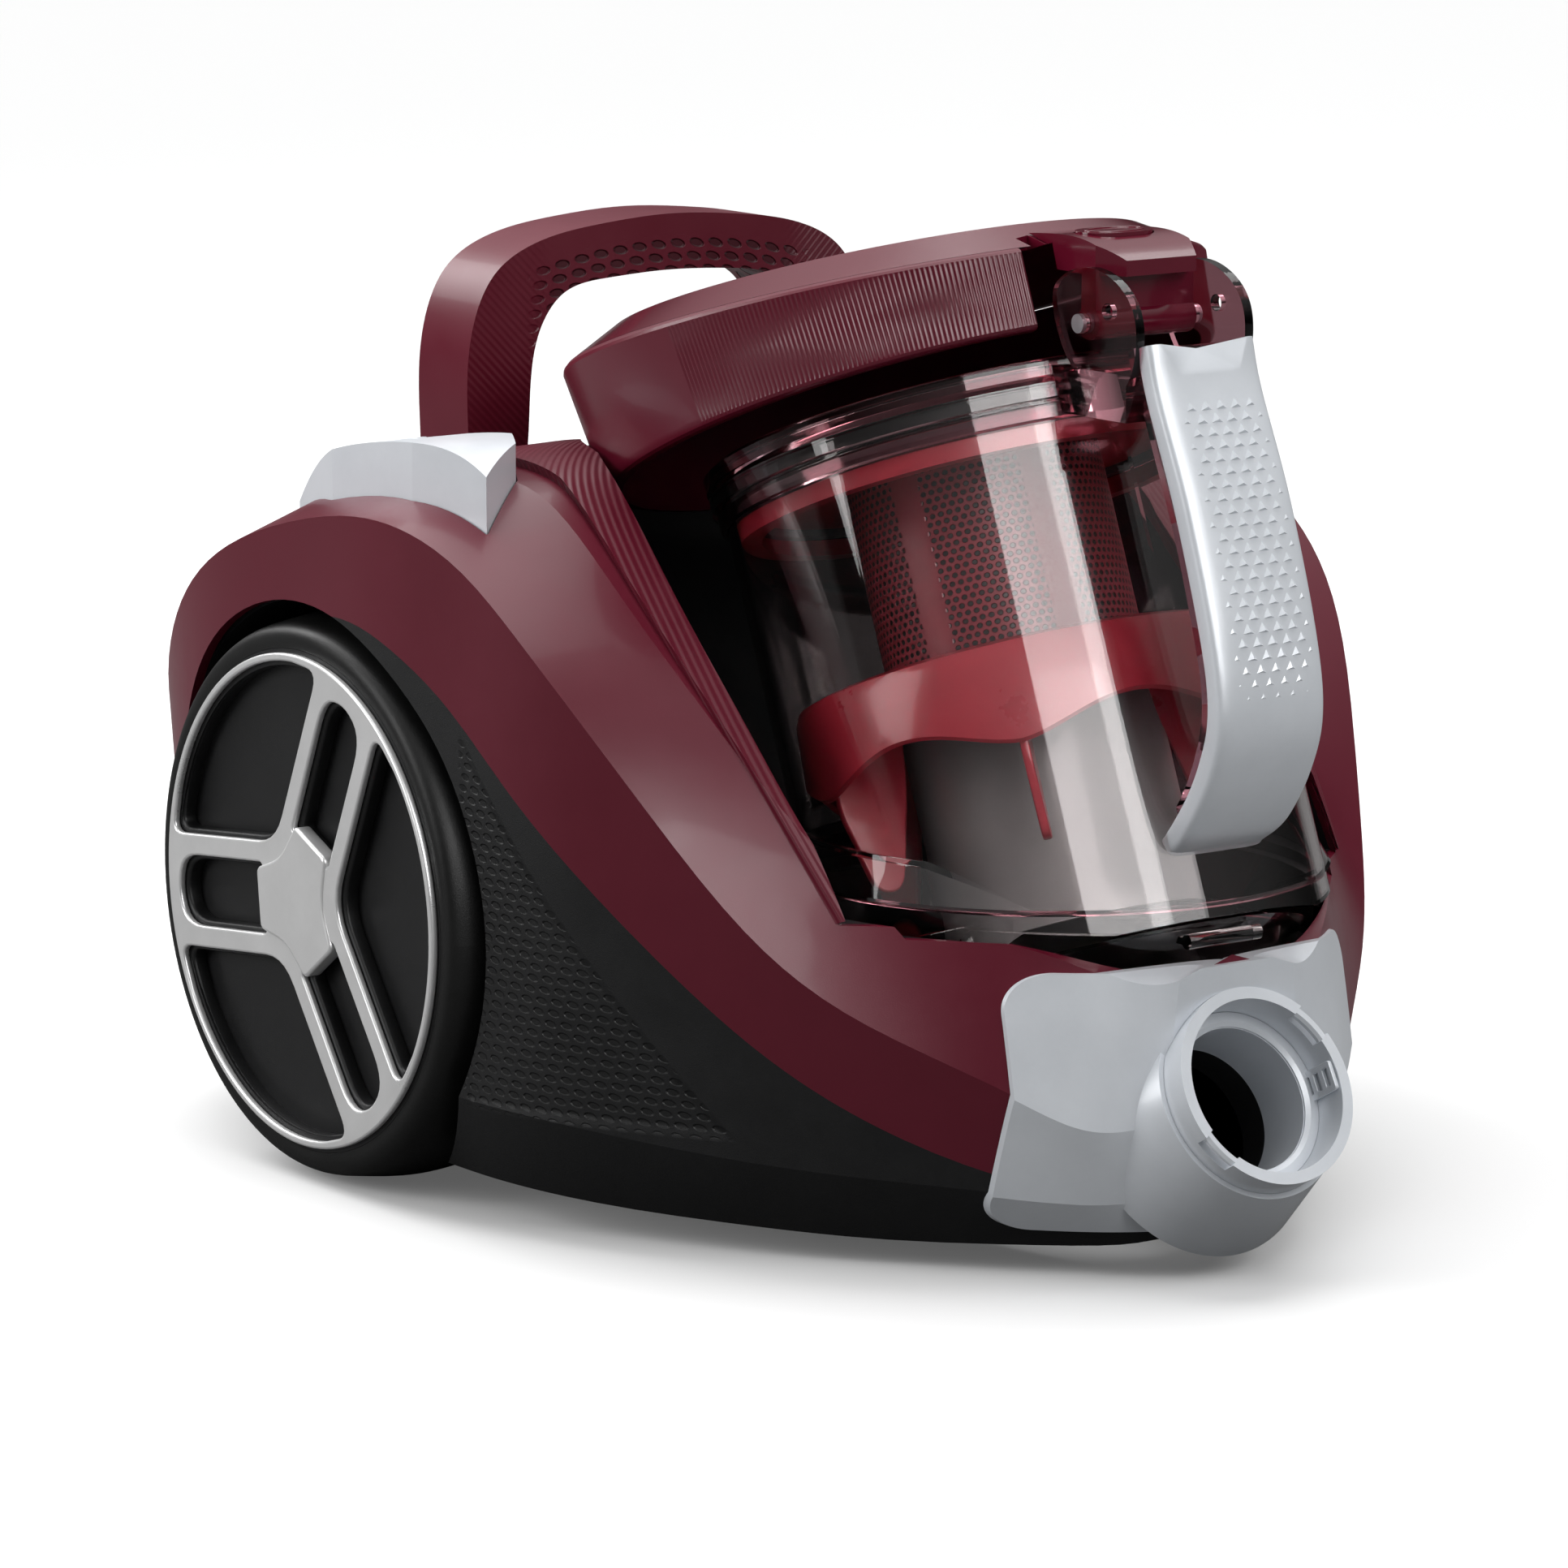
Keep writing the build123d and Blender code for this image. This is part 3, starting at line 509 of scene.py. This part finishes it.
def plated(name, loops, low, high, edge, mat, body, matrix, *nodes):
    """A plate moved by matrix, which works in mm, then filed as a piece."""
    mesh = plate(loops, low, high, edge)
    mesh.transform(Matrix.Scale(MM, 4) @ matrix)
    # a mirroring matrix turns the faces inside out
    if matrix.determinant() < 0:
        mesh.flip_normals()
    return place(name, mesh, mat, body, *nodes)


CURVE_STEPS = 24


def smooth(points, count):
    """Even points along a Catmull-Rom curve through the points given."""
    p = np.asarray(points, float)
    p = np.vstack([2 * p[0] - p[1], p, 2 * p[-1] - p[-2]])
    fine = []
    for k in range(1, len(p) - 2):
        for s in np.linspace(0, 1, CURVE_STEPS, endpoint=False):
            a, b, c, d = p[k - 1:k + 3]
            fine.append(0.5 * (2 * b + (c - a) * s + (2 * a - 5 * b + 4 * c - d) * s ** 2
                               + (3 * b - a - 3 * c + d) * s ** 3))
    fine = np.array(fine + [p[-2]])
    run = np.r_[0, np.cumsum(np.linalg.norm(np.diff(fine, axis=0), axis=1))]
    want = np.linspace(0, run[-1], count)
    return np.array([np.interp(want, run, fine[:, k]) for k in range(fine.shape[1])]).T


def ease(value, low, high):
    """0 at low, 1 at high, smooth between."""
    s = min(max((value - low) / (high - low), 0.0), 1.0)
    return s * s * (3 - 2 * s)


# ------------------------------------------------------------------ rear wheels
RING_R, RING_WIDE = 68.6, 2.2               # the bright ring's outer radius and its width
SPOKES, SPOKE_ANGLE, SPOKE_TURN = 3, 66.0, 120.0
SLOT_HALF, PAIR_HALF = 10.0, 16.0           # half widths of the slot in a pair of bars and of the pair
SLOT_NEAR, SLOT_END, SLOT_NOSE = 17.0, 5.0, 4.0
HUB_REACH, HUB_HALF, HUB_WAIST = 19.5, 8.6, 13.5
TRIM_TOP, TRIM_LOW = WHEEL_OUT - 1.5, WHEEL_OUT - 3.6
HUB_TOP, HUB_LOW, WALL_LOW, LIP = WHEEL_OUT - 1.0, WHEEL_OUT - 6.0, WHEEL_OUT - 8.4, 1.3


def direction(angle, along, across):
    """Point at a distance along a spoke's middle line and across it."""
    a = math.radians(angle)
    return (along * math.cos(a) - across * math.sin(a), along * math.sin(a) + across * math.cos(a))


def pocket(k, shrink):
    """Outline of the recess between two pairs of spokes."""
    first, second = SPOKE_ANGLE + SPOKE_TURN * k, SPOKE_ANGLE + SPOKE_TURN * (k + 1)
    edge, rim = PAIR_HALF + shrink, RING_R - RING_WIDE - shrink
    inner = direction(first + SPOKE_TURN / 2, edge / math.sin(math.radians(SPOKE_TURN / 2)), 0)
    far = math.sqrt(rim ** 2 - edge ** 2)
    start, end = direction(first, far, edge), direction(second, far, -edge)
    a0, a1 = math.atan2(start[1], start[0]), math.atan2(end[1], end[0])
    if a1 < a0:
        a1 += FULL_TURN
    # the arc's ends are left to the rounded corners
    arc = hoop(rim, 0, np.linspace(a0, a1, 34)[4:-4])
    return rounded([(*inner, 9.0), (*start, 5.5)] + arc + [(*end, 5.5)])


def slot_outline(k, shrink):
    """Outline of the recess between the two bars of one pair."""
    a = SPOKE_ANGLE + SPOKE_TURN * k
    half, near, far = SLOT_HALF - shrink, SLOT_NEAR + shrink, RING_R - SLOT_END - shrink
    corners = [(near, -half, 2.0), (far - SLOT_NOSE, -half, 8.0), (far, 0, 8.0), (far - SLOT_NOSE, half, 8.0),
               (near, half, 2.0)]
    return rounded([(*direction(a, x, y), r) for x, y, r in corners])


def hub_outline():
    """Three lobes, each as wide as a slot, with hollow sides between them."""
    corners = []
    for k in range(SPOKES):
        a = SPOKE_ANGLE + SPOKE_TURN * k
        corners += [(*direction(a, HUB_REACH, -HUB_HALF), 2.0), (*direction(a, HUB_REACH, HUB_HALF), 2.0)]
        corners.append((*direction(a + SPOKE_TURN / 2, HUB_WAIST, 0), 5.0))
    return rounded(corners)


def ring_with_recesses(radius, shrink):
    """Outlines of a round plate and its six recesses, each made smaller by shrink."""
    return ([oval(radius, radius, 128)] + [pocket(k, shrink) for k in range(SPOKES)]
            + [slot_outline(k, shrink) for k in range(SPOKES)])


def wheel(side, matrix):
    """Bright trim, the dark walls of its recesses, and the hub plate."""
    body = "wheel_" + side
    plated("trim_" + side, ring_with_recesses(RING_R, 0.0), TRIM_LOW, TRIM_TOP, 0.7, TRIM, body, matrix,
           "wheel_trim_" + side)
    plated("pocket_walls_" + side, ring_with_recesses(RING_R - 0.3, LIP), WALL_LOW, TRIM_LOW, 1.0,
           WHEEL_BLACK, body, matrix)
    plated("hub_plate_" + side, [hub_outline()], HUB_LOW, HUB_TOP, 0.9, TRIM, body, matrix, "hub_cap_" + side)


# ------------------------------------------------------------------ lid
RIB_PITCH, RIB_DEPTH, RIB_FROM, RIB_TO = 1.35, 0.25, 17.0, 82.0      # mm, mm, and degrees from the front
BUTTON_X, BUTTON_TOP = 120, 269.9
# share of the band's height, mm inwards, and whether the ribs show there
BAND_SECTION = [(0.0, 1.2, 0), (0.02, 0.35, 0), (0.05, 0.0, 0), (0.09, 0.0, 1), (0.5, 0.0, 1), (0.90, 0.0, 1),
                (0.94, 0.0, 0), (0.97, 0.5, 0), (1.0, 1.8, 0), (0.99, 4.0, 0), (0.5, 4.0, 0), (0.0, 4.0, 0)]


def lid_point(t, height, inset):
    """Point on the lid's outline at angle t, at a share of its height, moved inwards."""
    ends = []
    for x, z, a, b, tilt in (LID_LOW, LID_HIGH):
        lean = math.radians(tilt)
        along, across = (a - inset) * math.cos(t), (b - inset) * math.sin(t)
        ends.append(np.array((x + along * math.cos(lean), across, z + along * math.sin(lean))))
    return ends[0] * (1 - height) + ends[1] * height


def lid_band():
    """Band with fine upright ribs at the front of each side, plain round the back."""
    columns = []
    ribs = int(round((RIB_TO - RIB_FROM) * math.pi / 180 * LID_HIGH[3] * 1.08 / RIB_PITCH))
    for k in range(ribs * 4 + 1):
        columns.append((RIB_FROM + (RIB_TO - RIB_FROM) * k / (4 * ribs), (0, 1, 1, 0)[k % 4]))
    back = [(a, 0) for a in np.linspace(RIB_TO, 360 - RIB_TO, 70)[1:-1]]
    columns = columns + back + [(360 - a, groove) for a, groove in reversed(columns)]
    rows = []
    for height, inset, ribbed in BAND_SECTION:
        rows.append([lid_point(math.radians(a), height, inset + groove * ribbed * RIB_DEPTH)
                     for a, groove in columns])
    verts, faces = skin(rows, around=False, along=True)
    size = len(columns)
    # the two ends, at the gap for the nose
    faces.append(tuple(k * size for k in range(len(BAND_SECTION))))
    faces.append(tuple(k * size + size - 1 for k in range(len(BAND_SECTION))))
    piece("ribbed_band", verts, faces, BURGUNDY, "lid", "lid_band", sharp=25)


def button_mark():
    """Plain raised oval ring on the lid's button."""
    outer = oval(5.2, 9.2, 48)
    plated("button_ring", [outer, scaled(outer, 0.84, 0.90)], BUTTON_TOP, 270.5, 0.2, GLOSS, "lid_button",
           Matrix.Translation((BUTTON_X, 0, 0)))


# ------------------------------------------------------------------ dust container
# name, (radius, height) outline in the cup's own frame, finish, and steps round
CUP_RINGS = [
    ("clear_rim", [(68.3, -4.6), (71.2, -3.2), (71.4, 0.5), (70.0, 1.6), (66.0, 1.6), (66.0, -0.2),
                   (68.4, -1.0)], RIM_CLEAR, 160),
    ("rim_step", [(68.3, -14.5), (69.6, -14.0), (69.9, -10.5), (68.3, -10.0)], RIM_CLEAR, 160),
    ("seal_ring", [(64.8, -13.6), (65.3, -12.0), (64.8, -10.2), (61.0, -10.2), (61.0, -13.6)], GASKET, 140),
    ("red_ring", [(64.9, -19.4), (65.1, -14.6), (62.0, -14.4), (59.5, -19.4)], RED, 140),
]


def rings():
    """Stepped clear rim, gasket, translucent ring and red ring under the lid."""
    for name, profile, finish, steps in CUP_RINGS:
        turned(name, profile, finish, "container", CUP_FRAME, steps=steps)


SKIRT_R, SKIRT_LOW, SKIRT_ARCH = 62.6, -92.0, 7.5
FINS, FIN_TURN, FIN_HALF = 6, 20.0, 1.2
SKIRT_OVER = ((35.6, -66.5), (57.0, -66.8), (60.4, -68.0), (61.6, -71.0))      # radius and height, upper side
SKIRT_UNDER = ((59.4, -71.4), (56.5, -68.8), (35.6, -68.6))
FIN_OUTLINE = [(60.8, -86, 0), (60.4, -100, 3), (55.0, -120, 4), (47.0, -120, 6), (40.0, -92, 3),
               (38.5, -80, 0), (60.8, -80, 0)]


def skirt_low(angle):
    """The skirt's lower edge: low at each fin, arched up between."""
    lift = (0.5 - 0.5 * math.cos(FINS * (angle - math.radians(FIN_TURN)))) ** 0.8
    return SKIRT_LOW - 2.0 + SKIRT_ARCH * lift


def skirt():
    """Sloping disc round the filter tube, its deep skirt with a wavy edge, and tapered fins below it."""
    angles = turns(180)
    rows = [hoop(r, z, angles) for r, z in SKIRT_OVER]
    for r, lift in ((SKIRT_R, 0.0), (SKIRT_R - 1.0, -0.9), (SKIRT_R - 2.0, 0.0)):
        rows.append([(r * math.cos(a), r * math.sin(a), skirt_low(a) + lift) for a in angles])
    rows += [hoop(r, z, angles) for r, z in SKIRT_UNDER]
    verts, faces = skin(moved(rows, CUP_FRAME), along=True)
    piece("wavy_skirt", verts, faces, RED, "container", "separator_skirt")
    outline = rounded(FIN_OUTLINE)
    for k in range(FINS):
        turn = Matrix.Rotation(math.radians(360 / FINS * k + FIN_TURN), 4, "Z")
        upright = turn @ Matrix.Rotation(math.radians(90), 4, "X")
        plated(f"fin_{k}", [outline], -FIN_HALF, FIN_HALF, 0.6, RED, "container", CUP_FRAME @ upright)


FOOT_FRAME = Matrix.Translation((93.0, 0, 0))
FOOT_RINGS = [
    ("foot_edge", [(75.6, 98.2), (76.3, 99.0), (75.6, 99.8), (74.8, 99.0)]),
    ("foot_rim", [(65.6, 76.2), (66.7, 77.2), (65.8, 78.6), (63.4, 78.6), (63.4, 76.2)]),
]


def foot_details():
    """Red clear edge lines round the shoulder of the cup's foot and round its floor."""
    for name, profile in FOOT_RINGS:
        turned(name, profile, RED_CLEAR, "container", FOOT_FRAME, steps=160)


# ------------------------------------------------------------------ grip
# (x, z) points down the grip's front face and its back face
GRIP_FRONT = [(158, 245), (162, 232), (174, 205), (185, 172), (188.5, 150), (184, 134), (174, 119),
              (165, 112)]
GRIP_BACK = [(150, 243), (154, 230), (166, 202), (177, 170), (180, 153), (177, 140), (170, 127), (160, 117)]
GRIP_ROWS, GRIP_COLUMNS = 90, 64
GRIP_HALF, GRIP_TAPER, GRIP_CROWN = 17.5, 2.0, 1.3
SIDE_POWER, FACE_POWER = 0.34, 0.5          # how square the section is across and through
TOP_NOTCH = 0.05                            # depth of the dip in the top edge, as a share of the length
STUD_ROWS, STUD_PITCH, STUD_TALL, STUD_SUNK = 24, 4.9, 1.1, -0.25
STUD_HALF, STUD_SHARE = 2.2, 0.0112         # half width in mm, and half height as a share of the length
FIELD_TOP, FIELD_LONG, FIELD_SHIFT = 0.115, 0.545, 1.0
FIELD_EDGE, STUD_LEAST = 15.0, 0.12


def grip_faces():
    """Even (x, z) points down the grip's front face and its back face."""
    return smooth(GRIP_FRONT, GRIP_ROWS), smooth(GRIP_BACK, GRIP_ROWS)


def at_index(line, index):
    """The (x, z) point of a line at an index that may fall between two points."""
    return np.array([np.interp(index, range(len(line)), line[:, c]) for c in (0, 1)])


def grip_point(front, back, s, y, out):
    """Point on the grip's front face at a share s of its length, y across, out proud of the face."""
    index = s * (len(front) - 1)
    at, rear = at_index(front, index), at_index(back, index)
    away = (at - rear) / np.linalg.norm(at - rear)
    drop = GRIP_CROWN * (abs(y) / GRIP_HALF) ** 4
    spot = at + away * (out - drop)
    return (spot[0], y, spot[1])


def signed_power(value, power):
    return math.copysign(abs(value) ** power, value)


def grip_shell():
    """Closed shell with a squarish section, a dip in its top edge and a narrower lower end."""
    front, back = grip_faces()
    rows = []
    for k in range(GRIP_ROWS):
        s = k / (GRIP_ROWS - 1)
        half = GRIP_HALF - GRIP_TAPER * ease(s, 0.9, 1.0)
        ring = []
        for a in turns(GRIP_COLUMNS):
            y = half * signed_power(math.cos(a), SIDE_POWER)
            depth = 0.5 + 0.5 * signed_power(math.sin(a), FACE_POWER)
            notch = TOP_NOTCH * (1 - ease(abs(y), 9.5, 14.5)) * ease(1 - s, 0.86, 1.0)
            index = (s + notch) * (GRIP_ROWS - 1)
            spot = at_index(back, index) * (1 - depth) + at_index(front, index) * depth
            ring.append((spot[0], y, spot[1]))
        rows.append(ring)
    verts, faces = skin(rows)
    for start in (0, (GRIP_ROWS - 1) * GRIP_COLUMNS):
        middle = len(verts)
        verts = np.vstack([verts, verts[start:start + GRIP_COLUMNS].mean(axis=0)])
        faces += [(start + j, start + (j + 1) % GRIP_COLUMNS, middle) for j in range(GRIP_COLUMNS)]
    piece("grip_shell", verts, faces, SILVER, "container", "grip_cover", sharp=40)


def grip_studs():
    """Staggered three-sided studs on the upper part of the grip, lower towards the edges of their field."""
    front, back = grip_faces()
    verts, faces = [], []
    for i in range(STUD_ROWS):
        s = FIELD_TOP + FIELD_LONG * i / (STUD_ROWS - 1)
        for j in range(-4, 5):
            y = (j + 0.5 * (i % 2)) * STUD_PITCH + FIELD_SHIFT
            fade = 1 - ease(abs(y - FIELD_SHIFT), 9.0, 15.5)
            fade *= (1 - ease(s, 0.52, 0.68))
            fade *= ease(s, 0.06, 0.13)
            if fade < STUD_LEAST or abs(y) > FIELD_EDGE:
                continue
            k = len(verts)
            corners = ((s + STUD_SHARE, y - STUD_HALF, STUD_SUNK), (s + STUD_SHARE, y + STUD_HALF, STUD_SUNK),
                       (s - STUD_SHARE, y, STUD_SUNK), (s + STUD_SHARE * 0.3, y, STUD_TALL * fade))
            verts += [grip_point(front, back, *corner) for corner in corners]
            faces += [(k, k + 1, k + 3), (k + 1, k + 2, k + 3), (k + 2, k, k + 3), (k, k + 2, k + 1)]
    piece("grip_studs", verts, faces, SILVER, "container", sharp=10)


# ------------------------------------------------------------------ hose socket
SOCKET_RINGS = [
    ("socket_rim", [(26.2, -2.2), (26.6, -0.8), (25.8, 0.0), (24.4, -0.1), (23.8, -1.0), (24.0, -2.4)]),
    ("socket_step", [(23.6, -12.0), (23.6, -10.8), (21.0, -10.6), (19.8, -11.4), (19.8, -12.0)]),
]
LADDER_AT, LADDER_THICK, LADDER_HOLES, LADDER_PITCH = (0, 23.3, -7.0), 1.2, 3, 4.0


def socket_details():
    """Pale rolled rim, inner step ring, and the small ladder moulding beside the bore."""
    for name, profile in SOCKET_RINGS:
        turned(name, profile, SILVER, "body", INLET_FRAME)
    ladder = [oblong(4, 6.5, 1)]
    ladder += [oblong(2.4, 1.1, 0.4, LADDER_PITCH * (k - 1)) for k in range(LADDER_HOLES)]
    stand = Matrix.Translation(LADDER_AT) @ Matrix.Rotation(math.radians(90), 4, "X")
    plated("socket_ladder", ladder, 0.0, LADDER_THICK, 0.2, SILVER, "body", INLET_FRAME @ stand)


# ------------------------------------------------------------------ pedals
PEDAL_X, PEDAL_Y, PEDAL_Z, PEDAL_LEAN = -51, 112, 204.4, -11


def pedal_mark(side, body):
    """Plain raised oval ring with a short bar in it, as a generic sign for a foot switch."""
    on_top = (Matrix.Translation((PEDAL_X, side * PEDAL_Y, PEDAL_Z))
              @ Matrix.Rotation(math.radians(PEDAL_LEAN), 4, "Y"))
    outer = oval(10.0, 6.0, 40)
    loops = [outer, scaled(outer, 0.88, 0.80), oblong(4, 1.0, 0.6)]
    plated(body + "_mark", loops, -0.5, 0.5, 0.2, SILVER, body, on_top)


# ------------------------------------------------------------------ build
for side, matrix in (("right", WHEEL_FRAME), ("left", MIRROR @ WHEEL_FRAME)):
    wheel(side, matrix)
lid_band()
button_mark()
rings()
skirt()
foot_details()
grip_shell()
grip_studs()
socket_details()
pedal_mark(-1, "power_pedal")
pedal_mark(1, "rewind_pedal")


EDGE_WIDTH, EDGE_ANGLE = 1.0, 30


def soften(node):
    """Rounds a CAD node's sharp edges for the light to catch."""
    bevel = NODES[node].modifiers.new("edges", "BEVEL")
    bevel.width = EDGE_WIDTH * MM
    bevel.segments = 2
    bevel.limit_method = "ANGLE"
    bevel.angle_limit = math.radians(EDGE_ANGLE)


for node in ("carry_handle", "power_pedal", "rewind_pedal", "lid_nose"):
    soften(node)

# ------------------------------------------------------------------ studio
# name, place, aim, width, height, power, and whether it lights dull surfaces
LAMPS = [
    ("behind", (-1.35, -0.45, 1.15), (0.0, 0.0, 0.12), 0.9, 0.9, 16, True),
    ("front_fill", (1.3, 0.2, 0.9), (0.15, 0, 0.08), 0.7, 0.7, 7, True),
    ("right_high", (-0.6, -1.5, 0.7), (-0.1, -0.1, 0.2), 0.8, 0.8, 13, True),
    ("cup_panel", (1.35, -0.35, 0.85), (0.08, 0, 0.15), 1.0, 0.9, 18, False),
]
SUN_POWER, SUN_ANGLE, SUN_TOWARDS = 2.0, 60, (0.30, -0.20, -1.0)
SKY_LOW, SKY_HIGH, SKY_DARK, SKY_PALE = 0.05, 0.75, 0.02, 0.7
FLOOR_SIZE, FLOOR_GREY, FLOOR_SEEN, FLOOR_GLOW = 60, 0.15, 0.60, 0.10
CAMERA_AT, CAMERA_AZIMUTH, CAMERA_ELEVATION = (1.52675, -1.11790, 0.45907), 54.27, 10.603
SENSOR, LENS = 36.0, 158.39


def show(name, data, towards):
    """Puts a lamp or a camera in the scene, turned to look along a direction."""
    obj = bpy.data.objects.new(name, data)
    bpy.context.scene.collection.objects.link(obj)
    obj.rotation_euler = Vector(towards).to_track_quat("-Z", "Y").to_euler()
    return obj


def area(name, place_at, aim, width, height, power, diffuse):
    lamp = bpy.data.lights.new(name, "AREA")
    lamp.shape = "RECTANGLE"
    lamp.size = width
    lamp.size_y = height
    lamp.energy = power
    obj = show(name, lamp, Vector(aim) - Vector(place_at))
    obj.location = place_at
    obj.visible_diffuse = diffuse


def white_floor():
    """Pale floor that stays white out to the horizon and keeps only the soft shadow."""
    bpy.ops.mesh.primitive_plane_add(size=FLOOR_SIZE)
    floor = bpy.context.object
    floor.name = "floor"
    mat = new_mat("floor_pale", (0.75, 0.75, 0.75), 0.9, spec=0.0)
    bsdf = mat.node_tree.nodes["Principled BSDF"]
    seen = add(mat, "ShaderNodeLightPath").outputs["Is Camera Ray"]
    link(mat, math_node(mat, "MULTIPLY_ADD", seen, FLOOR_SEEN, FLOOR_GREY), bsdf.inputs["Base Color"])
    bsdf.inputs["Emission Color"].default_value = (1, 1, 1, 1)
    link(mat, math_node(mat, "MULTIPLY", seen, FLOOR_GLOW), bsdf.inputs["Emission Strength"])
    floor.data.materials.append(mat)


def sky():
    """White backdrop to the camera. For the light, pale overhead and dark at the horizon."""
    world = bpy.data.worlds.new("studio")
    world.use_nodes = True
    backdrop = world.node_tree.nodes["Background"]
    backdrop.inputs["Color"].default_value = (1, 1, 1, 1)
    seen = add(world, "ShaderNodeLightPath").outputs["Is Camera Ray"]
    _, _, height = axes(world, "Generated")
    glow = map_range(world, height, (SKY_LOW, SKY_HIGH), (SKY_DARK, SKY_PALE),
                     interpolation_type="SMOOTHSTEP")
    hidden = math_node(world, "SUBTRACT", 1.0, seen)
    strength = math_node(world, "ADD", times(world, glow, hidden), seen)
    link(world, strength, backdrop.inputs["Strength"])
    bpy.context.scene.world = world


def studio():
    """Floor, sky, one broad sun and four area lamps."""
    white_floor()
    sky()
    sun = bpy.data.lights.new("sky_panel", "SUN")
    sun.energy = SUN_POWER
    sun.angle = math.radians(SUN_ANGLE)
    show("sky_panel", sun, SUN_TOWARDS)
    for lamp in LAMPS:
        area(*lamp)


def camera():
    """The photo's view: from the front right, slightly above."""
    data = bpy.data.cameras.new("camera")
    data.sensor_width = SENSOR
    data.lens = LENS
    az, el = math.radians(CAMERA_AZIMUTH), math.radians(CAMERA_ELEVATION)
    look = -Vector((math.sin(az) * math.cos(el), -math.cos(az) * math.cos(el), math.sin(el)))
    obj = show("camera", data, look)
    obj.location = CAMERA_AT
    bpy.context.scene.camera = obj


studio()
camera()
bpy.context.scene.view_settings.view_transform = "Standard"
